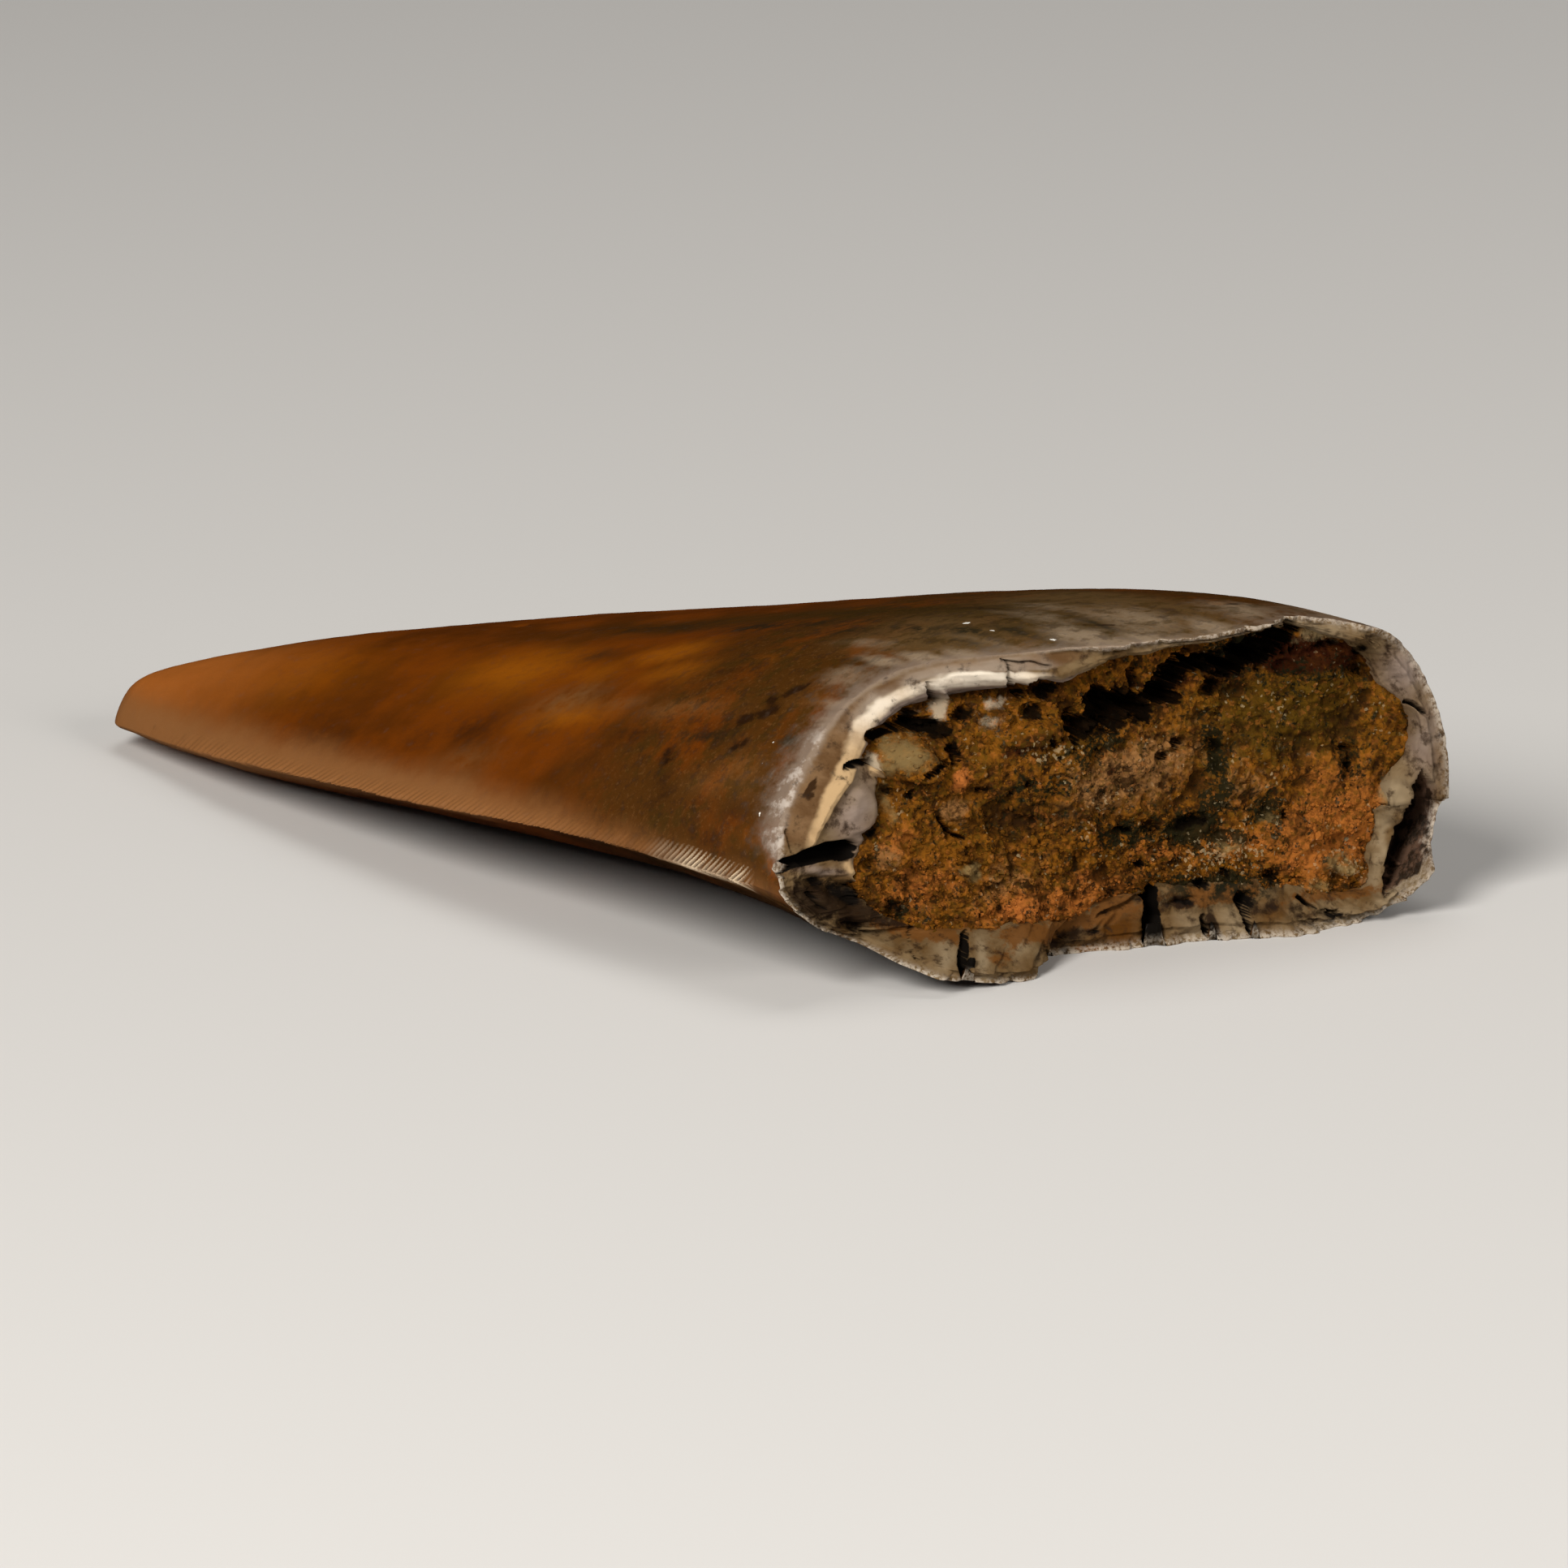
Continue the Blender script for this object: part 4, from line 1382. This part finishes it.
def wallColour(shade, fine, streaks, grain):
    # the broken layers: dentine with grime in its hollows, a beige bevel, the cream crest and a pale rind
    look = wallLook
    middle = shade.noise(0.9, 5.0, 0.6)
    bevel = shade.mix(shade.between(streaks, 0.40, 0.62), look["bevelBrown"], look["bevel"])
    bevel = shade.painted(bevel, (
        (look["grime"], 0.35, shade.between(fine, 0.52, 0.66)),
        (look["paleBevel"], 0.85, shade.ragged("chalk", 0.20, 0.95, (streaks, 0.8))),
        (look["grime"], 1.00, shade.ragged("umber", 0.55, 0.95, (fine, 0.6))),
    ))
    crest = shade.mix(shade.mark("chalk"), look["cream"], look["chalk"])
    crest = shade.mix(shade.times(shade.between(middle, 0.50, 0.66), 0.35), crest, look["bevel"])
    rind = shade.times(shade.between(grain, 0.38, 0.58), shade.ragged("bevel", 0.6, 0.0))
    deep = shade.wavered("slot", (fine, 0.9))
    inside = shade.mix(shade.between(fine, 0.44, 0.60), look["slotWall"], look["umber"])
    colour = shade.mix(shade.between(middle, 0.38, 0.62), look["dentine"], look["beige"])
    return shade.painted(colour, (
        (look["dentine"], 0.30, shade.mark("tone")),
        (look["lavender"], 0.90, shade.mark("lavender")),
        (look["plate"], 1.00, shade.mark("plate")),
        (look["amber"], 1.00, shade.mark("amberFace")),
        (look["dust"], 0.90, shade.ragged("dust", 0.30, 0.60, (shade.noise(0.35, 5.0, 0.7), 1.6))),
        (look["grime"], 0.55, shade.between(fine, 0.50, 0.64)),
        (look["grime"], 0.12, shade.mark("gap")),
        (sandLook["moss"], 1.00, shade.times(shade.mark("moss"), shade.between(fine, 0.40, 0.55))),
        (look["umber"], 0.92, shade.ragged("umber", 0.25, 0.75, (fine, 1.6))),
        (bevel, 1.00, shade.mark("bevel")),
        (look["lavender"], 0.90, shade.mark("shadowed")),
        (crest, 1.00, shade.ragged("cream", 0.15, 0.95)),
        (look["rind"], 0.85, shade.times(shade.mark("rind"), rind)),
        *rubbedCoats(shade, fine, grain),
        (inside, 0.92, shade.between(deep, 0.05, 0.25)),
        (look["umber"], 0.85, shade.between(deep, 0.55, 1.0)),
    ))


def makeToothMaterial(name, colouring, look):
    # fine mottling, streaks along the tooth and the finest grain steer the colours, gloss and relief
    material, surface = newMaterial(name)
    shade = Shade(material.node_tree)
    fine, grain = shade.noise(0.30, 5.0, 0.65), shade.noise(0.10, 3.0, 0.7)
    streaks = shade.noise(0.7, 5.0, 0.6, shade.stretched((0.25, 1.0, 1.0)))
    colour = shade.painted(colouring(shade, fine, streaks, grain), sootCoats(shade, fine, wallLook["soot"]))
    roughness = shade.wavered(look["roughness"], (fine, 0.24))
    height = shade.math("ADD", shade.times(fine, 0.6), shade.times(streaks, 0.8))
    shade.finish(surface, look, colour, roughness, height)
    return material


def makeSandMaterial():
    # ochre, orange and olive grains by their own tone, dark between them, with the zones of the broken face
    look = sandLook
    material, surface = newMaterial("rustySand")
    shade = Shade(material.node_tree)
    middle, small = shade.noise(0.9, 5.0, 0.65), shade.noise(0.24, 5.0, 0.7)
    grain, patch = shade.noise(0.09, 3.0, 0.65), shade.noise(0.5, 4.0, 0.75)
    speck, fleck = shade.cells(0.085), shade.cells(0.06)
    tone = shade.mark("tone")
    mixed = shade.wavered(tone, (middle, 1.8), (grain, 0.8), (speck["Red"], 0.4))
    colour = shade.mix(shade.between(mixed, 0.15, 0.80), look["brown"], look["ochre"])
    zones = [(look[name], 0.80, shade.ragged(name, 0.15, 0.75, (small, 1.6), (tone, 0.3)))
             for name in ("olive", "ochre", "pink", "orange")]
    stones = [(look[name], 0.80, shade.ragged(name, 0.15, 0.85, (small, 1.3)))
              for name in ("grey", "plate", "web")]
    pale = shade.ragged(fleck["Blue"], 0.72, 0.80, (patch, -0.5), (shade.mark("salted"), 0.5))
    colour = shade.painted(colour, (
        *zones,
        (look["umber"], 0.80, shade.ragged("shade", 0.20, 0.90, (small, 1.8))),
        (look["orange"], 0.35, shade.between(speck["Green"], 0.80, 0.92)),
        (look["olive"], 0.55, shade.between(speck["Blue"], 0.70, 0.86)),
        (look["umber"], 0.65, shade.between(patch, 0.52, 0.66)),
        (look["umber"], 0.32, shade.between(fleck["Red"], 0.80, 0.92)),
        (look["ember"], 0.75, shade.ragged("ember", 0.15, 0.95, (small, 1.4))),
        (look["umber"], 0.80, shade.between(mixed, 0.16, -0.20)),
        (look["umber"], 0.70, shade.ragged("peak", -0.3, -1.2, (small, 1.6))),
        (look["umber"], 0.26, shade.mark("gap")),
        (look["rust"], 0.88, shade.ragged("rust", 0.20, 0.90, (small, 1.8))),
        (look["moss"], 0.94, shade.ragged("moss", 0.22, 0.60, (small, 2.8), (fleck["Green"], 0.6))),
        (look["pale"], 0.35, pale),
        *stones,
        *sootCoats(shade, small, look["soot"]),
    ))
    height = shade.math("ADD", small, shade.times(grain, 0.5))
    shade.finish(surface, look, colour, look["roughness"], height)
    return material


# Build

enamel = makeToothMaterial("amberToothEnamel", skinColour, skinLook)
dentine = makeToothMaterial("brokenDentine", wallColour, wallLook)
sand = makeSandMaterial()
print("materials made")

rim = makeBrokenRim()
toothPieces = [rim, makeCrownBlade()]
toothPieces += [makeSerrations(name, *row) for name, row in serrations["rows"].items()]
sandPieces = [makeSandFill()]
sandPieces += [makeLooseGrains(name, *kind) for name, kind in sandForm["loose"].items()]
for piece in toothPieces:
    piece.data.materials.append(enamel)
    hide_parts("tooth_crown")
rim.data.materials.append(dentine)
for piece in sandPieces:
    piece.data.materials.append(sand)
    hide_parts("matrix_fill")
print("pieces dressed")


# Room

room = {
    "floor": srgb(216, 214, 211),
    "floorRoughness": 0.9,
    "floorSize": 0.9,
    "worldColour": (1.0, 0.98, 0.95, 1.0),
    "worldStrength": 0.08,
    # lamps: place, aim, size, watts, colour
    "lamps": {
        "keyLamp": ((0.07, -0.22, 0.17), (0.0, 0.0, 0.0), 0.14, 0.82, (1.0, 0.97, 0.93)),
        "faceLamp": ((0.30, -0.02, 0.12), (0.0, 0.0, 0.0), 0.12, 0.38, (1.0, 0.97, 0.93)),
        "topLamp": ((-0.04, 0.10, 0.34), (0.0, 0.0, 0.0), 0.22, 0.28, (1.0, 0.99, 0.97)),
    },
}


def makeRoom():
    # a pale floor that isn't mirrored in the tooth, and an even dim light from all round
    half = room["floorSize"] / 2
    corners = [(-half, -half, 0), (half, -half, 0), (half, half, 0), (-half, half, 0)]
    mesh = bpy.data.meshes.new("floor")
    mesh.from_pydata(corners, [], [(0, 1, 2, 3)])
    floor = bpy.data.objects.new("floor", mesh)
    bpy.context.scene.collection.objects.link(floor)
    material, surface = newMaterial("paleFloor")
    surface.inputs["Base Color"].default_value = room["floor"]
    surface.inputs["Roughness"].default_value = room["floorRoughness"]
    mesh.materials.append(material)
    floor.visible_glossy = False
    world = bpy.data.worlds.new("softRoom")
    world.use_nodes = True
    background = world.node_tree.nodes["Background"]
    background.inputs["Color"].default_value = room["worldColour"]
    background.inputs["Strength"].default_value = room["worldStrength"]
    bpy.context.scene.world = world
    world.cycles_visibility.glossy = False


def makeLamps():
    # round area lamps, each turned to what it lights
    for name, (place, aim, size, watts, colour) in room["lamps"].items():
        light = bpy.data.lights.new(name, "AREA")
        light.shape = "DISK"
        light.size = size
        light.energy = watts
        light.color = colour
        lamp = bpy.data.objects.new(name, light)
        lamp.location = place
        lamp.rotation_euler = lookAlong(np.array(aim) - np.array(place))
        bpy.context.scene.collection.objects.link(lamp)
    bpy.data.objects["topLamp"].visible_glossy = False


makeRoom()
makeLamps()
bpy.context.scene.view_settings.view_transform = "Standard"
print("room made")
